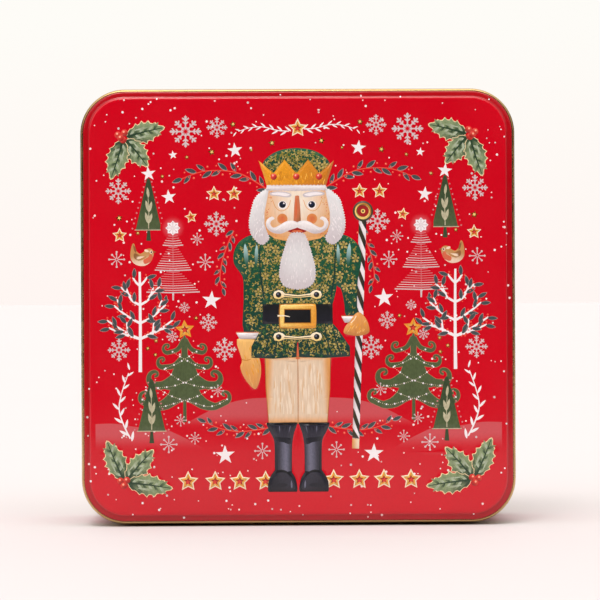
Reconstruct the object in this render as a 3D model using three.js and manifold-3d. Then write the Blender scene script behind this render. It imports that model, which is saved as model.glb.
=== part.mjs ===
// Square cookie tin with rounded corners, standing on one of its sides.
// Millimetres, +Z up. The lid faces -Y and lifts off along -Y; the base faces +Y.
// Every sheet-metal piece is a section swept round the same rounded square, so a section is
// a list of [w, y] points: w is the distance from the tin's axis to a straight side, y the depth.

import * as THREE from "three";
import { mergeVertices } from "three/addons/utils/BufferGeometryUtils.js";
import Module from "manifold-3d";

// Driving dimensions
const LID_WIDTH = 200;          // across the bead round the lid's face
const CORNER_RADIUS = 20.5;     // of that bead, seen from the front
const DEPTH = 60;               // raised panel of the lid to rim of the base seam
const SHEET = 0.4;              // tinplate, modelled a little thicker than it is
const GAP = 0.3;                // between sheets that are crimped together
const CORNER_STEPS = 8;         // facets round each corner

// Lid
const PANEL_EDGE = 95.1;        // half width of the raised panel
const RISER_WIDTH = 1.1;
const RISER_HEIGHT = 0.9;
const SHOULDER = 98.5;          // half width of the printed top at its shoulder
const SHOULDER_RADIUS = 0.7;
const EDGE_EASE = 0.15;         // how far the riser's two front edges are eased
const TOP_HEIGHT = 1.9;         // front of the panel to the top's turned-down edge
const BEAD_RADIUS = 0.7;        // crimped bead behind the shoulder
const BEAD_NIP = 0.1;           // how far the bead closes in on the top's edge
const BEAD_FROM = 56;           // angles the bead's sheet turns between, in degrees
const BEAD_TO = -270;
const SKIRT_OUT = 99.7;         // half width over the band
const SKIRT_DEPTH = 19.3;       // front of the panel to the centre of the band's curl
const CURL_RADIUS = 0.9;        // rolled edge of the band
const CURL_FROM = 153;          // angles the rolled edge turns between, in degrees
const CURL_TO = -120;

// Body
const NECK_OUT = 98.9;          // half width over the neck, inside the band
const MOUTH_DEPTH = 4;          // front of the panel to the mouth
const MOUTH_CURL_RADIUS = 0.95;
const MOUTH_CURL_TURN = 305;    // how far round the mouth is curled, in degrees
const STOP_BEAD_HEIGHT = 0.4;   // bead that the band's curl stops at
const STOP_BEAD_WIDTH = 2.4;
const STOP_BEAD_EASE = 0.12;    // how far the bead's two edges are eased
const STOP_DEPTH = 20.8;        // front of the panel to the end of the neck
const WALL_OUT = SKIRT_OUT;     // flush with the band

// Base seam
const SEAM_OUT = 101;           // half width over the seam, which the tin stands on
const SEAM_DEPTH = 3.2;
const SEAM_RADIUS = 0.8;
const BASE_RECESS = 2.6;        // rim of the seam to the base's outer zone
const BASE_STEP_EDGE = 89.5;    // half width of the stamped inner zone
const BASE_STEP_HEIGHT = 0.6;
const BASE_STEP_RUN = 1;        // width of the slope between the two zones

// Side seam of the body strip, folded inwards under the figure's feet
const SIDE_SEAM_WIDTH = 5;
const SIDE_SEAM_HEIGHT = 0.6;
const SIDE_SEAM_MARGIN = 4;     // the fold is notched away near the base seam

// Cushion pad
const PAD_WIDTH = 193;
const PAD_THICKNESS = 3;
const PAD_EDGE_EASE = 0.4;

// Places that follow from them
const CORNER_CENTRE = LID_WIDTH / 2 - CORNER_RADIUS;
const CENTRE_Z = SEAM_OUT;
const FRONT = -DEPTH / 2;
const BACK = DEPTH / 2;
const LAND = FRONT + RISER_HEIGHT;

// Points on an arc of a section. Angles are in degrees: 0 points outwards, 90 to the back.
function arc(w, y, radius, from, to, steps) {
  const points = [];
  for (let i = 0; i <= steps; i += 1) {
    const angle = THREE.MathUtils.degToRad(from + ((to - from) * i) / steps);
    points.push([w + radius * Math.cos(angle), y + radius * Math.sin(angle)]);
  }
  return points;
}

// One turn round the tin at half width w and depth y. Its corners share the lid's centres.
function ring(w, y) {
  const radius = w - CORNER_CENTRE;
  const points = [];
  for (let corner = 0; corner < 4; corner += 1) {
    const start = (corner * Math.PI) / 2;
    const cx = CORNER_CENTRE * (corner === 0 || corner === 3 ? 1 : -1);
    const cz = CORNER_CENTRE * (corner < 2 ? 1 : -1);
    for (let i = 0; i <= CORNER_STEPS; i += 1) {
      const angle = start + (i * Math.PI) / 2 / CORNER_STEPS;
      points.push([cx + radius * Math.cos(angle), y, cz + radius * Math.sin(angle)]);
    }
  }
  return points;
}

function toGeometry(positions, triangles) {
  const geometry = new THREE.BufferGeometry();
  geometry.setAttribute("position", new THREE.Float32BufferAttribute(positions.flat(), 3));
  geometry.setIndex(triangles.flat());
  return geometry;
}

// Joins each turn to the next one, as two triangles for each side of the turn.
function bridge(rings, closed) {
  const count = rings[0].length;
  const triangles = [];
  const last = closed ? rings.length : rings.length - 1;
  for (let j = 0; j < last; j += 1) {
    const a = j * count;
    const b = ((j + 1) % rings.length) * count;
    for (let i = 0; i < count; i += 1) {
      const next = (i + 1) % count;
      triangles.push([a + i, a + next, b + next], [a + i, b + next, b + i]);
    }
  }
  return triangles;
}

// A closed section swept right round the tin. The section runs front, inside, back, outside.
function hoop(section) {
  const rings = section.map(([w, y]) => ring(w, y));
  return toGeometry(rings.flat(), bridge(rings, true));
}

// A plate: the section runs from the axis along its back to the edge and returns along its front.
function plate(section) {
  const rings = section.map(([w, y]) => ring(w, y));
  const triangles = bridge(rings, false);
  const positions = rings.flat();
  const count = rings[0].length;
  const backCentre = positions.length;
  const frontCentre = backCentre + 1;
  positions.push([0, section[0][1], 0], [0, section[section.length - 1][1], 0]);
  const lastRing = (rings.length - 1) * count;
  for (let i = 0; i < count; i += 1) {
    const next = (i + 1) % count;
    triangles.push([backCentre, next, i]);
    triangles.push([frontCentre, lastRing + i, lastRing + next]);
  }
  return toGeometry(positions, triangles);
}

function block(sizeX, sizeY, sizeZ, x, y, z) {
  const geometry = new THREE.BoxGeometry(sizeX, sizeY, sizeZ);
  geometry.translate(x, y, z);
  return geometry;
}

const wasm = await Module();
wasm.setup();

function toSolid(geometry) {
  const bare = geometry.clone();
  bare.deleteAttribute("normal");
  bare.deleteAttribute("uv");
  const merged = mergeVertices(bare);
  const vertProperties = new Float32Array(merged.attributes.position.array);
  const triVerts = new Uint32Array(merged.index.array);
  return new wasm.Manifold(new wasm.Mesh({ numProp: 3, vertProperties, triVerts }));
}

function fromSolid(solid) {
  const mesh = solid.getMesh();
  const geometry = new THREE.BufferGeometry();
  geometry.setAttribute("position", new THREE.Float32BufferAttribute(mesh.vertProperties, 3));
  geometry.setIndex(new THREE.Uint32BufferAttribute(mesh.triVerts, 1));
  return geometry;
}

// The printed top of the lid: a raised panel, a riser, a land and a turned-down shoulder.
function lidTop() {
  const shoulderCentre = SHOULDER - SHOULDER_RADIUS;
  const shoulderY = LAND + SHOULDER_RADIUS;
  const edgeY = FRONT + TOP_HEIGHT;
  const riserFoot = PANEL_EDGE + RISER_WIDTH;
  const back = [
    [PANEL_EDGE - SHEET / 2, FRONT + SHEET],
    [riserFoot - SHEET / 2, LAND + SHEET],
    ...arc(shoulderCentre, shoulderY, SHOULDER_RADIUS - SHEET, -90, 0, 3),
    [SHOULDER - SHEET, edgeY],
  ];
  const front = [
    [SHOULDER, edgeY],
    ...arc(shoulderCentre, shoulderY, SHOULDER_RADIUS, 0, -90, 4),
    [riserFoot + EDGE_EASE, LAND],
    [riserFoot - EDGE_EASE, LAND - EDGE_EASE],
    [PANEL_EDGE + EDGE_EASE, FRONT + EDGE_EASE],
    [PANEL_EDGE - EDGE_EASE, FRONT],
  ];
  return plate([...back, ...front]);
}

// The band round the lid: a crimped bead behind the shoulder, the skirt and a rolled edge.
function lidBand() {
  const inside = SKIRT_OUT - SHEET;
  const beadY = FRONT + TOP_HEIGHT + GAP + BEAD_RADIUS - BEAD_NIP;
  const curlY = FRONT + SKIRT_DEPTH;
  const curlW = SEAM_OUT - CURL_RADIUS;
  return hoop([
    ...arc(inside, beadY, BEAD_RADIUS, BEAD_FROM, BEAD_TO, 12),
    ...arc(curlW, curlY, CURL_RADIUS, CURL_FROM, CURL_TO, 11),
  ]);
}

// Folded side seam, on the inside of the wall at the middle of the side the tin stands on.
function sideSeam(insideW, fromY, toY) {
  const height = SIDE_SEAM_HEIGHT + SHEET / 2;
  const z = -(insideW + SHEET / 2) + height / 2;
  return block(SIDE_SEAM_WIDTH, toY - fromY, height, 0, (fromY + toY) / 2, z);
}

// The body strip: curled mouth, neck, stop bead, wall and the hook held in the base seam.
function bodyWall() {
  const neckIn = NECK_OUT - SHEET;
  const wallIn = WALL_OUT - SHEET;
  const mouthY = FRONT + MOUTH_DEPTH + MOUTH_CURL_RADIUS;
  const mouthW = NECK_OUT - MOUTH_CURL_RADIUS;
  const stopY = FRONT + STOP_DEPTH;
  const beadMiddle = stopY + STOP_BEAD_WIDTH / 2;
  const beadEnd = stopY + STOP_BEAD_WIDTH;
  const bead = WALL_OUT + STOP_BEAD_HEIGHT;
  const beadRound = STOP_BEAD_WIDTH / 6;
  const hookOut = SEAM_OUT - SHEET - GAP;
  const hookBack = BACK - SHEET - GAP;
  const hookFront = BACK - SEAM_DEPTH + SHEET * 2;
  const wall = hoop([
    ...arc(mouthW, mouthY, MOUTH_CURL_RADIUS, 0, -MOUTH_CURL_TURN, 10),
    [neckIn, stopY],
    [bead - SHEET, beadMiddle],
    [wallIn, beadEnd],
    [wallIn, hookBack - SHEET],
    [WALL_OUT, hookBack],
    [hookOut - SHEET, hookBack],
    [hookOut, hookBack - SHEET],
    [hookOut, hookFront],
    [hookOut - SHEET, hookFront],
    [hookOut - SHEET, hookBack - SHEET],
    [WALL_OUT, hookBack - SHEET],
    [WALL_OUT, beadEnd],
    [bead - STOP_BEAD_EASE, beadMiddle + beadRound],
    [bead, beadMiddle],
    [bead - STOP_BEAD_EASE, beadMiddle - beadRound],
    [NECK_OUT, stopY],
  ]);
  const neckSeam = sideSeam(neckIn, mouthY + MOUTH_CURL_RADIUS + SHEET, stopY);
  const wallSeam = sideSeam(wallIn, beadEnd, hookBack - SIDE_SEAM_MARGIN);
  return fromSolid(toSolid(wall).add(toSolid(neckSeam)).add(toSolid(wallSeam)));
}

// The base: a stamped, recessed plate whose edge is folded over the body's hook.
function basePlate() {
  const chuckIn = WALL_OUT - SHEET * 2 - GAP;
  const plateY = BACK - BASE_RECESS;
  const outerW = SEAM_OUT - SEAM_RADIUS;
  const lipY = BACK - SEAM_DEPTH;
  const inner = SEAM_RADIUS - SHEET;
  const stepHalf = BASE_STEP_RUN / 2;
  const frontStep = BASE_STEP_EDGE + SHEET / 2;
  const back = [
    [BASE_STEP_EDGE - stepHalf, plateY - BASE_STEP_HEIGHT],
    [BASE_STEP_EDGE + stepHalf, plateY],
    ...arc(chuckIn - SEAM_RADIUS, plateY + SEAM_RADIUS, SEAM_RADIUS, -90, 0, 3),
    ...arc(chuckIn + SEAM_RADIUS, BACK - SEAM_RADIUS, SEAM_RADIUS, 180, 90, 3),
    ...arc(outerW, BACK - SEAM_RADIUS, SEAM_RADIUS, 90, 0, 3),
    ...arc(outerW, lipY + SEAM_RADIUS, SEAM_RADIUS, 0, -90, 3),
    [WALL_OUT + GAP, lipY],
  ];
  const front = [
    [WALL_OUT + GAP, lipY + SHEET],
    ...arc(outerW, lipY + SEAM_RADIUS, inner, -90, 0, 2),
    ...arc(outerW, BACK - SEAM_RADIUS, inner, 0, 90, 2),
    ...arc(chuckIn + SEAM_RADIUS, BACK - SEAM_RADIUS, inner, 90, 180, 2),
    ...arc(chuckIn - SEAM_RADIUS, plateY + SEAM_RADIUS, SEAM_RADIUS + SHEET, 0, -90, 3),
    [frontStep + stepHalf, plateY - SHEET],
    [frontStep - stepHalf, plateY - BASE_STEP_HEIGHT - SHEET],
  ];
  return plate([...back, ...front]);
}

// A loose paper pad that lies on the base, corrugated on the real tin and plain here.
function cushionPad() {
  const back = BACK - BASE_RECESS - BASE_STEP_HEIGHT - SHEET - GAP;
  const edge = PAD_WIDTH / 2;
  return plate([
    [edge - PAD_EDGE_EASE, back],
    [edge, back - PAD_EDGE_EASE],
    [edge, back - PAD_THICKNESS + PAD_EDGE_EASE],
    [edge - PAD_EDGE_EASE, back - PAD_THICKNESS],
  ]);
}

function piece(name, geometry, color, roughness, metalness) {
  const flat = geometry.toNonIndexed();
  flat.computeVertexNormals();
  const material = new THREE.MeshStandardMaterial({ color, roughness, metalness });
  const mesh = new THREE.Mesh(flat, material);
  mesh.name = name;
  return mesh;
}

const tin = new THREE.Group();
tin.position.set(0, 0, CENTRE_Z);

const lid = new THREE.Group();
lid.add(piece("lid_top", lidTop(), 0xcc0c26, 0.25, 0.1));
lid.add(piece("lid_band", lidBand(), 0xb58f52, 0.3, 0.9));
tin.add(lid);

const body = new THREE.Group();
body.add(piece("body_wall", bodyWall(), 0xb80a20, 0.3, 0.1));
body.add(piece("base_plate", basePlate(), 0xb58f52, 0.35, 0.9));
body.add(piece("cushion_pad", cushionPad(), 0xf0e6d2, 0.8, 0));
tin.add(body);

export default tin;
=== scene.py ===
"""Looks of the square cookie tin: smooth sheet metal, a printed and embossed lid, studio light."""

import math
import random

import bmesh
import bpy
import numpy as np
from mathutils import Matrix, Vector
from mathutils.geometry import delaunay_2d_cdt


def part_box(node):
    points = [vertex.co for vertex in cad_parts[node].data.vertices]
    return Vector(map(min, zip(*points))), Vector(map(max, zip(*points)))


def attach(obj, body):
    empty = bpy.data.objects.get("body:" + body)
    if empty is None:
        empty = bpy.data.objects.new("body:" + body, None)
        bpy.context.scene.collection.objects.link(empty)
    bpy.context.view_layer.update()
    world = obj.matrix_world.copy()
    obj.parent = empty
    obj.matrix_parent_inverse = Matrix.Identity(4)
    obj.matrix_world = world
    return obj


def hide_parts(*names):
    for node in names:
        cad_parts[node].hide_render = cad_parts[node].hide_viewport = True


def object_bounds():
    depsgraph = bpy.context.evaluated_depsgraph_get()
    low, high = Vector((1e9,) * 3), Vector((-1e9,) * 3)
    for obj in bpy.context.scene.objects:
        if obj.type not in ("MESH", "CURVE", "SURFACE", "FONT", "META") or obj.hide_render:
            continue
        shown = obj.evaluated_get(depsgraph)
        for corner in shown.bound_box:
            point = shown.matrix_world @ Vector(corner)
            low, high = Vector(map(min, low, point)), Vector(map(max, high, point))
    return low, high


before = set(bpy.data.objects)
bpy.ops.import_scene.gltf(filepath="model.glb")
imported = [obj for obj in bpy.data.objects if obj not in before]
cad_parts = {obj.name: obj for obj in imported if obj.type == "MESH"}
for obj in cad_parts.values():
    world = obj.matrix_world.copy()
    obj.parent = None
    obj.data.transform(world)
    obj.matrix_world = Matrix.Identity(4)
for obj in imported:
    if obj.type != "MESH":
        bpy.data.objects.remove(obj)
CAD_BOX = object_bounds()

# ---------------------------------------------------------------------------------------
# Sizes, in millimetres. Shapes are drawn round the tin's axis and lifted by CENTRE_Z.
# ---------------------------------------------------------------------------------------

MM = 0.001
TOP_LOW, TOP_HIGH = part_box("lid_top")
BASE_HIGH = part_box("base_plate")[1]
PAD_LOW, PAD_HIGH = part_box("cushion_pad")

CENTRE_Z = (CAD_BOX[0].z + CAD_BOX[1].z) / 2 / MM
FRONT = TOP_LOW.y / MM            # raised panel
BACK = BASE_HIGH.y / MM           # rim of the base seam
SHOULDER = TOP_HIGH.x / MM        # half width of the printed top
SEAM_OUT = BASE_HIGH.x / MM       # half width of the base seam and of the band's curl
TOP_HEIGHT = (TOP_HIGH.y - TOP_LOW.y) / MM

SHEET = 0.4
GAP = 0.3
CORNER_CENTRE = 79.5
PANEL_EDGE = 95.1
RISER_WIDTH = 1.2
RISER_HEIGHT = 0.9
LAND_MIDDLE = 97.0
LAND_FALL = 0.38                   # the land slopes back a little towards the shoulder
SHOULDER_RADIUS = 0.55
INNER_BEND = 0.18
BEAD_CREST = 98.75                 # half width of the gold bead's foremost line
BEAD_SWELL = 1.25                  # from that line out to the bead's side
BEAD_DEPTH = 3.0                   # and back to its widest line
CRIMP_EDGE = 98.3                  # half width where the band folds in behind the shoulder
SKIRT_OUT = 99.7
SKIRT_DEPTH = 19.3
CURL_RADIUS = 0.9
NECK_OUT = 98.9
MOUTH_DEPTH = 4.0
MOUTH_CURL_RADIUS = 0.95
STOP_BEAD_HEIGHT = 0.4
STOP_DEPTH = 20.8
SEAM_DEPTH = 3.2
SEAM_RADIUS = 0.8
BASE_RECESS = 2.6
BASE_STEP_EDGE = 89.5
BASE_STEP_HEIGHT = 0.6
SIDE_SEAM_WIDTH = 5.0
SIDE_SEAM_HEIGHT = 0.6

WELD = 2e-6                       # metres; strips that share an edge are joined there
CORNER_STEPS = 20                 # facets round each corner of a turn
SIDE_STEPS = 8                    # facets along each straight side
FRONT_PITCH = 1.4                 # spacing of the points inside the lid's top, in front and behind
REAR_PITCH = 2.2


# ---------------------------------------------------------------------------------------
# Turns, hoops and plates of sheet metal
# ---------------------------------------------------------------------------------------

def turn_runs(w):
    """Distances along one turn to its points, from the middle of the underside."""
    arc_run = (w - CORNER_CENTRE) * math.pi / 2
    runs = []
    for side in range(4):
        start = side * (2 * CORNER_CENTRE + arc_run) - CORNER_CENTRE
        runs += [start + 2 * CORNER_CENTRE * i / SIDE_STEPS for i in range(SIDE_STEPS)]
        runs += [start + 2 * CORNER_CENTRE + arc_run * i / CORNER_STEPS for i in range(CORNER_STEPS)]
    return np.roll(np.mod(runs, turn_length(w)), -SIDE_STEPS // 2)


def turn_length(w):
    return 8 * CORNER_CENTRE + 2 * math.pi * (w - CORNER_CENTRE)


def wrap(runs, w):
    """Points (x, z) at those distances along a turn, anticlockwise as the lid is seen."""
    quarter = turn_length(w) / 4
    side, along = np.divmod(np.asarray(runs) + CORNER_CENTRE, quarter)
    angle = np.radians(90 * side - 90) + np.maximum(along - 2 * CORNER_CENTRE, 0) / (w - CORNER_CENTRE)
    level = np.minimum(along, 2 * CORNER_CENTRE) - CORNER_CENTRE
    facing = np.radians(90 * side - 90)
    x = CORNER_CENTRE * np.cos(facing) - level * np.sin(facing) + (w - CORNER_CENTRE) * np.cos(angle)
    z = CORNER_CENTRE * np.sin(facing) + level * np.cos(facing) + (w - CORNER_CENTRE) * np.sin(angle)
    return np.stack((x, z), -1)


def turn_points(w):
    """One turn round the tin at half width w, as (x, z)."""
    return wrap(turn_runs(w), w)


def section_arc(w, y, radius, start, end, steps):
    """Points on an arc of a section. 0 degrees points outwards and 90 to the back."""
    angles = np.radians(np.linspace(start, end, steps + 1))
    return [(w + radius * math.cos(a), y + radius * math.sin(a)) for a in angles]


def half_width(x, z):
    """Half width of the turn that passes through (x, z)."""
    x, z = np.abs(x), np.abs(z)
    corner = (x > CORNER_CENTRE) & (z > CORNER_CENTRE)
    return np.where(corner, CORNER_CENTRE + np.hypot(x - CORNER_CENTRE, z - CORNER_CENTRE), np.maximum(x, z))


def smoothstep(t):
    t = np.clip(t, 0, 1)
    return t * t * (3 - 2 * t)


class Build:
    """The vertices and faces of one piece, with a material index and a colour for each face corner."""

    def __init__(self):
        self.points = []
        self.faces = []
        self.slots = []
        self.colours = []

    def add(self, points):
        first = len(self.points)
        self.points.extend(points)
        return list(range(first, first + len(points)))

    def face(self, corners, slot=0, colours=None):
        self.faces.append(tuple(corners))
        self.slots.append(slot)
        self.colours.append(colours or [INKS["ground"][0]] * len(corners))

    def turn(self, w, y):
        return self.add([(x, y, z) for x, z in turn_points(w)])

    def bridge(self, a, b, slot=0):
        count = len(a)
        for i in range(count):
            j = (i + 1) % count
            self.face((a[i], a[j], b[j], b[i]), slot)

    def hoop(self, section, slots):
        """A closed section swept round the tin. slots gives the material of the strip after each point."""
        turns = [self.turn(w, y) for w, y in section]
        for k, current in enumerate(turns):
            self.bridge(current, turns[(k + 1) % len(turns)], slots[k])
        return turns

    def cap(self, ring, y, slot, facing_back):
        """Closes a flat turn, with inner turns so that its faces stay even."""
        outer = ring
        steps = 6
        xz = [(self.points[i][0], self.points[i][2]) for i in ring]
        for k in range(1, steps):
            share = 1 - k / steps
            inner = self.add([(x * share, y, z * share) for x, z in xz])
            if facing_back:
                self.bridge(inner, outer, slot)
            else:
                self.bridge(outer, inner, slot)
            outer = inner
        centre = self.add([(0.0, y, 0.0)])[0]
        for i in range(len(outer)):
            j = (i + 1) % len(outer)
            self.face((outer[j], outer[i], centre) if facing_back else (outer[i], outer[j], centre), slot)

    def finish(self, name, materials, body, node, slot, sharp=40):
        mesh = bpy.data.meshes.new(name)
        mesh.from_pydata([(x * MM, y * MM, (z + CENTRE_Z) * MM) for x, y, z in self.points], [], self.faces)
        for material in materials:
            mesh.materials.append(material)
        mesh.polygons.foreach_set("material_index", self.slots)
        mesh.polygons.foreach_set("use_smooth", [True] * len(self.faces))
        ink = mesh.attributes.new("Ink", "FLOAT_COLOR", "CORNER")
        flat = [c for face in self.colours for rgb in face for c in (*rgb, 1.0)]
        ink.data.foreach_set("color", flat)
        weld = bmesh.new()
        weld.from_mesh(mesh)
        bmesh.ops.remove_doubles(weld, verts=weld.verts, dist=WELD)
        weld.to_mesh(mesh)
        weld.free()
        mesh.set_sharp_from_angle(angle=math.radians(sharp))
        mesh.update()
        piece = bpy.data.objects.new(name, mesh)
        bpy.context.scene.collection.objects.link(piece)
        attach(piece, body)
        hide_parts(node)


# ---------------------------------------------------------------------------------------
# Inks: colour and finish. Colours are written as they look, and used as linear light.
# ---------------------------------------------------------------------------------------

def linear(rgb):
    return tuple(((c / 255 + 0.055) / 1.055) ** 2.4 if c > 10 else c / 255 / 12.92 for c in rgb)


GROUND, SNOW, FROST, FOLIAGE, GILT, WOOD, BROCADE, HAIR, LEATHER, FOIL = range(10)

INKS = {
    "ground": ((208, 3, 28), GROUND),
    # border: a darker red than the ground, on the land round the raised panel: painted shade for that recess,
    # added to the shading its slope gives
    "border": ((178, 2, 19), GROUND),
    "hill": ((208, 84, 90), GROUND),
    "white": ((246, 238, 240), SNOW),
    "dot": ((250, 222, 222), SNOW),
    "frost": ((212, 192, 194), FROST),
    "glow": ((226, 120, 130), GROUND),
    "pink": ((208, 122, 128), FROST),
    "cream": ((248, 230, 200), GILT),
    "gold": ((236, 158, 48), GILT),
    "gold_light": ((250, 214, 120), GILT),
    "gold_dark": ((178, 112, 30), GILT),
    "glitter": ((150, 112, 40), FOIL),
    "grey_leaf": ((64, 74, 76), FOLIAGE),
    "grey_leaf_edge": ((168, 150, 148), FOLIAGE),
    "stem": ((232, 76, 56), SNOW),
    "berry": ((222, 58, 44), SNOW),
    "berry_light": ((250, 170, 140), SNOW),
    "berry_dark": ((160, 20, 20), SNOW),
    "holly": ((134, 150, 108), FOLIAGE),
    "holly_dark": ((38, 64, 42), FOLIAGE),
    "holly_light": ((178, 188, 164), FOLIAGE),
    "holly_edge": ((246, 220, 172), GILT),
    "fir_rim": ((150, 122, 88), FOLIAGE),
    "fir": ((78, 92, 56), FOLIAGE),
    "fir_dark": ((54, 72, 44), FOLIAGE),
    "fir_leaf": ((190, 182, 150), FOLIAGE),
    "robin": ((196, 140, 80), HAIR),
    "robin_dark": ((142, 92, 50), HAIR),
    "robin_breast": ((220, 104, 70), HAIR),
    "robin_belly": ((244, 216, 190), HAIR),
    "coat": ((14, 80, 54), BROCADE),
    "coat_dark": ((8, 54, 46), BROCADE),
    "brocade": ((146, 130, 52), BROCADE),
    "brocade_light": ((186, 162, 92), BROCADE),
    "brocade_green": ((56, 98, 46), BROCADE),
    "skin_light": ((246, 232, 214), WOOD),
    "nose": ((206, 118, 78), WOOD),
    "cheek": ((218, 104, 62), WOOD),
    "wool": ((228, 225, 226), HAIR),
    "hair": ((240, 232, 232), HAIR),
    "hair_shade": ((206, 194, 198), HAIR),
    "crown": ((236, 158, 34), GILT),
    "crown_dark": ((204, 122, 26), GILT),
    "crown_light": ((248, 192, 84), GILT),
    "mitten": ((240, 186, 108), WOOD),
    "tan": ((226, 156, 84), WOOD),
    "trouser": ((230, 203, 174), WOOD),
    "trouser_light": ((240, 219, 195), WOOD),
    "trouser_warm": ((226, 188, 148), WOOD),
    "trouser_line": ((186, 116, 62), WOOD),
    "boot": ((50, 48, 60), LEATHER),
    "boot_light": ((108, 108, 128), LEATHER),
    "boot_dark": ((28, 28, 38), LEATHER),
    "black": ((20, 20, 24), LEATHER),
    "iris": ((26, 44, 84), LEATHER),
    "staff_dark": ((60, 54, 36), LEATHER),
    "sheen": ((170, 206, 206), SNOW),
}
INKS = {name: (linear(rgb), finish) for name, (rgb, finish) in INKS.items()}


# ---------------------------------------------------------------------------------------
# Outlines, as arrays of (x, z) points
# ---------------------------------------------------------------------------------------

def outline(points):
    return np.array(points, float)


def ellipse(centre, rx, rz, count=16, lean=0.0):
    a = np.linspace(0, 2 * math.pi, count, endpoint=False)
    x, z = rx * np.cos(a), rz * np.sin(a)
    c, s = math.cos(math.radians(lean)), math.sin(math.radians(lean))
    return np.stack((centre[0] + x * c - z * s, centre[1] + x * s + z * c), 1)


def disc(centre, radius, count=10):
    return ellipse(centre, radius, radius, count)


def star(centre, radius, inner=0.42, lean=0.0, points=5):
    a = np.radians(90 + lean) + np.arange(2 * points) * math.pi / points
    r = np.where(np.arange(2 * points) % 2 == 0, radius, radius * inner)
    return np.stack((centre[0] + r * np.cos(a), centre[1] + r * np.sin(a)), 1)


def smooth(points, closed=True, steps=4):
    """A curve through the points."""
    p = outline(points)
    count = len(p)
    curve = []
    for i in range(count if closed else count - 1):
        if closed:
            a, b, c, d = p[i - 1], p[i], p[(i + 1) % count], p[(i + 2) % count]
        else:
            a, b, c, d = p[max(i - 1, 0)], p[i], p[i + 1], p[min(i + 2, count - 1)]
        for k in range(steps):
            t = k / steps
            straight = 2 * b + (c - a) * t
            bowed = straight + (2 * a - 5 * b + 4 * c - d) * t**2
            curve.append(0.5 * (bowed + (3 * b - a - 3 * c + d) * t**3))
    if not closed:
        curve.append(p[-1])
    return np.array(curve)


def normals(line):
    step = np.gradient(line, axis=0)
    step /= np.maximum(np.hypot(step[:, 0], step[:, 1]), 1e-9)[:, None]
    return np.stack((-step[:, 1], step[:, 0]), 1)


def stroke(line, start, end=None, middle=None):
    """A brush stroke along a line, with its widths at the start, middle and end."""
    line = outline(line)
    end = start if end is None else end
    middle = (start + end) / 2 if middle is None else middle
    t = np.linspace(0, 1, len(line))
    width = np.interp(t, (0, 0.5, 1), (start, middle, end))[:, None] / 2
    side = normals(line) * width
    return np.concatenate((line + side, (line - side)[::-1]))


def leaf(base, tip, width, fullness=0.45):
    """A pointed oval leaf."""
    base, tip = outline(base), outline(tip)
    along = tip - base
    across = np.array((-along[1], along[0])) / np.hypot(*along) * width / 2
    t = np.array((0.0, 0.08, 0.24, fullness, 0.68, 0.87, 1.0))
    w = np.array((0.0, 0.42, 0.85, 1.0, 0.84, 0.42, 0.0))
    one = base + along * t[:, None] + across * w[:, None]
    two = base + along * t[:, None] - across * w[:, None]
    return np.concatenate((one, two[-2:0:-1]))


def holly_leaf(base, tip, width, inset=0.0, spines=6):
    """A holly leaf: spines with hollows between them. inset shrinks it evenly."""
    base, tip = outline(base), outline(tip)
    along = tip - base
    length = np.hypot(*along)
    along = along / length
    across = np.array((-along[1], along[0]))
    base, length = base + along * inset * 0.6, length - inset * 1.9
    one, two = [], []
    for k in range(spines * 3 + 1):
        t = k / (spines * 3)
        full = (width / 2 - inset) * math.sin(math.pi * (0.1 + 0.9 * t))
        share = 1.1 if k % 3 == 2 else 0.86
        lean = 0.35 if k % 3 == 2 else 0.0
        if k in (0, spines * 3):
            share = 0.0
        one.append(base + along * (t * length + lean) + across * full * share)
        two.append(base + along * (t * length + lean) - across * full * share)
    return np.concatenate((one, two[-2:0:-1]))


def anticlockwise(shape):
    x, z = shape.T
    return shape if np.sum(x * np.roll(z, -1) - z * np.roll(x, -1)) > 0 else shape[::-1]


def contains(shape, points):
    """Which points lie inside the outline. Places where it overlaps itself count as inside."""
    winding = np.zeros(len(points), int)
    x, z = points[:, 0], points[:, 1]
    for (x1, z1), (x2, z2) in zip(shape, np.roll(shape, -1, 0)):
        if z1 == z2:
            continue
        crosses = ((z1 <= z) != (z2 <= z)) & (x < (x2 - x1) * (z - z1) / (z2 - z1) + x1)
        winding += crosses * (1 if z2 > z1 else -1)
    return winding != 0


def edge_distance(shape, points):
    best = np.full(len(points), 1e9)
    for a, b in zip(shape, np.roll(shape, -1, 0)):
        d = b - a
        t = np.clip(((points - a) @ d) / max(d @ d, 1e-12), 0, 1)
        best = np.minimum(best, np.hypot(*(points - a - t[:, None] * d).T))
    return best


# ---------------------------------------------------------------------------------------
# A print: inked outlines, later ones over earlier ones, and the bosses pressed up under them
# ---------------------------------------------------------------------------------------

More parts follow.
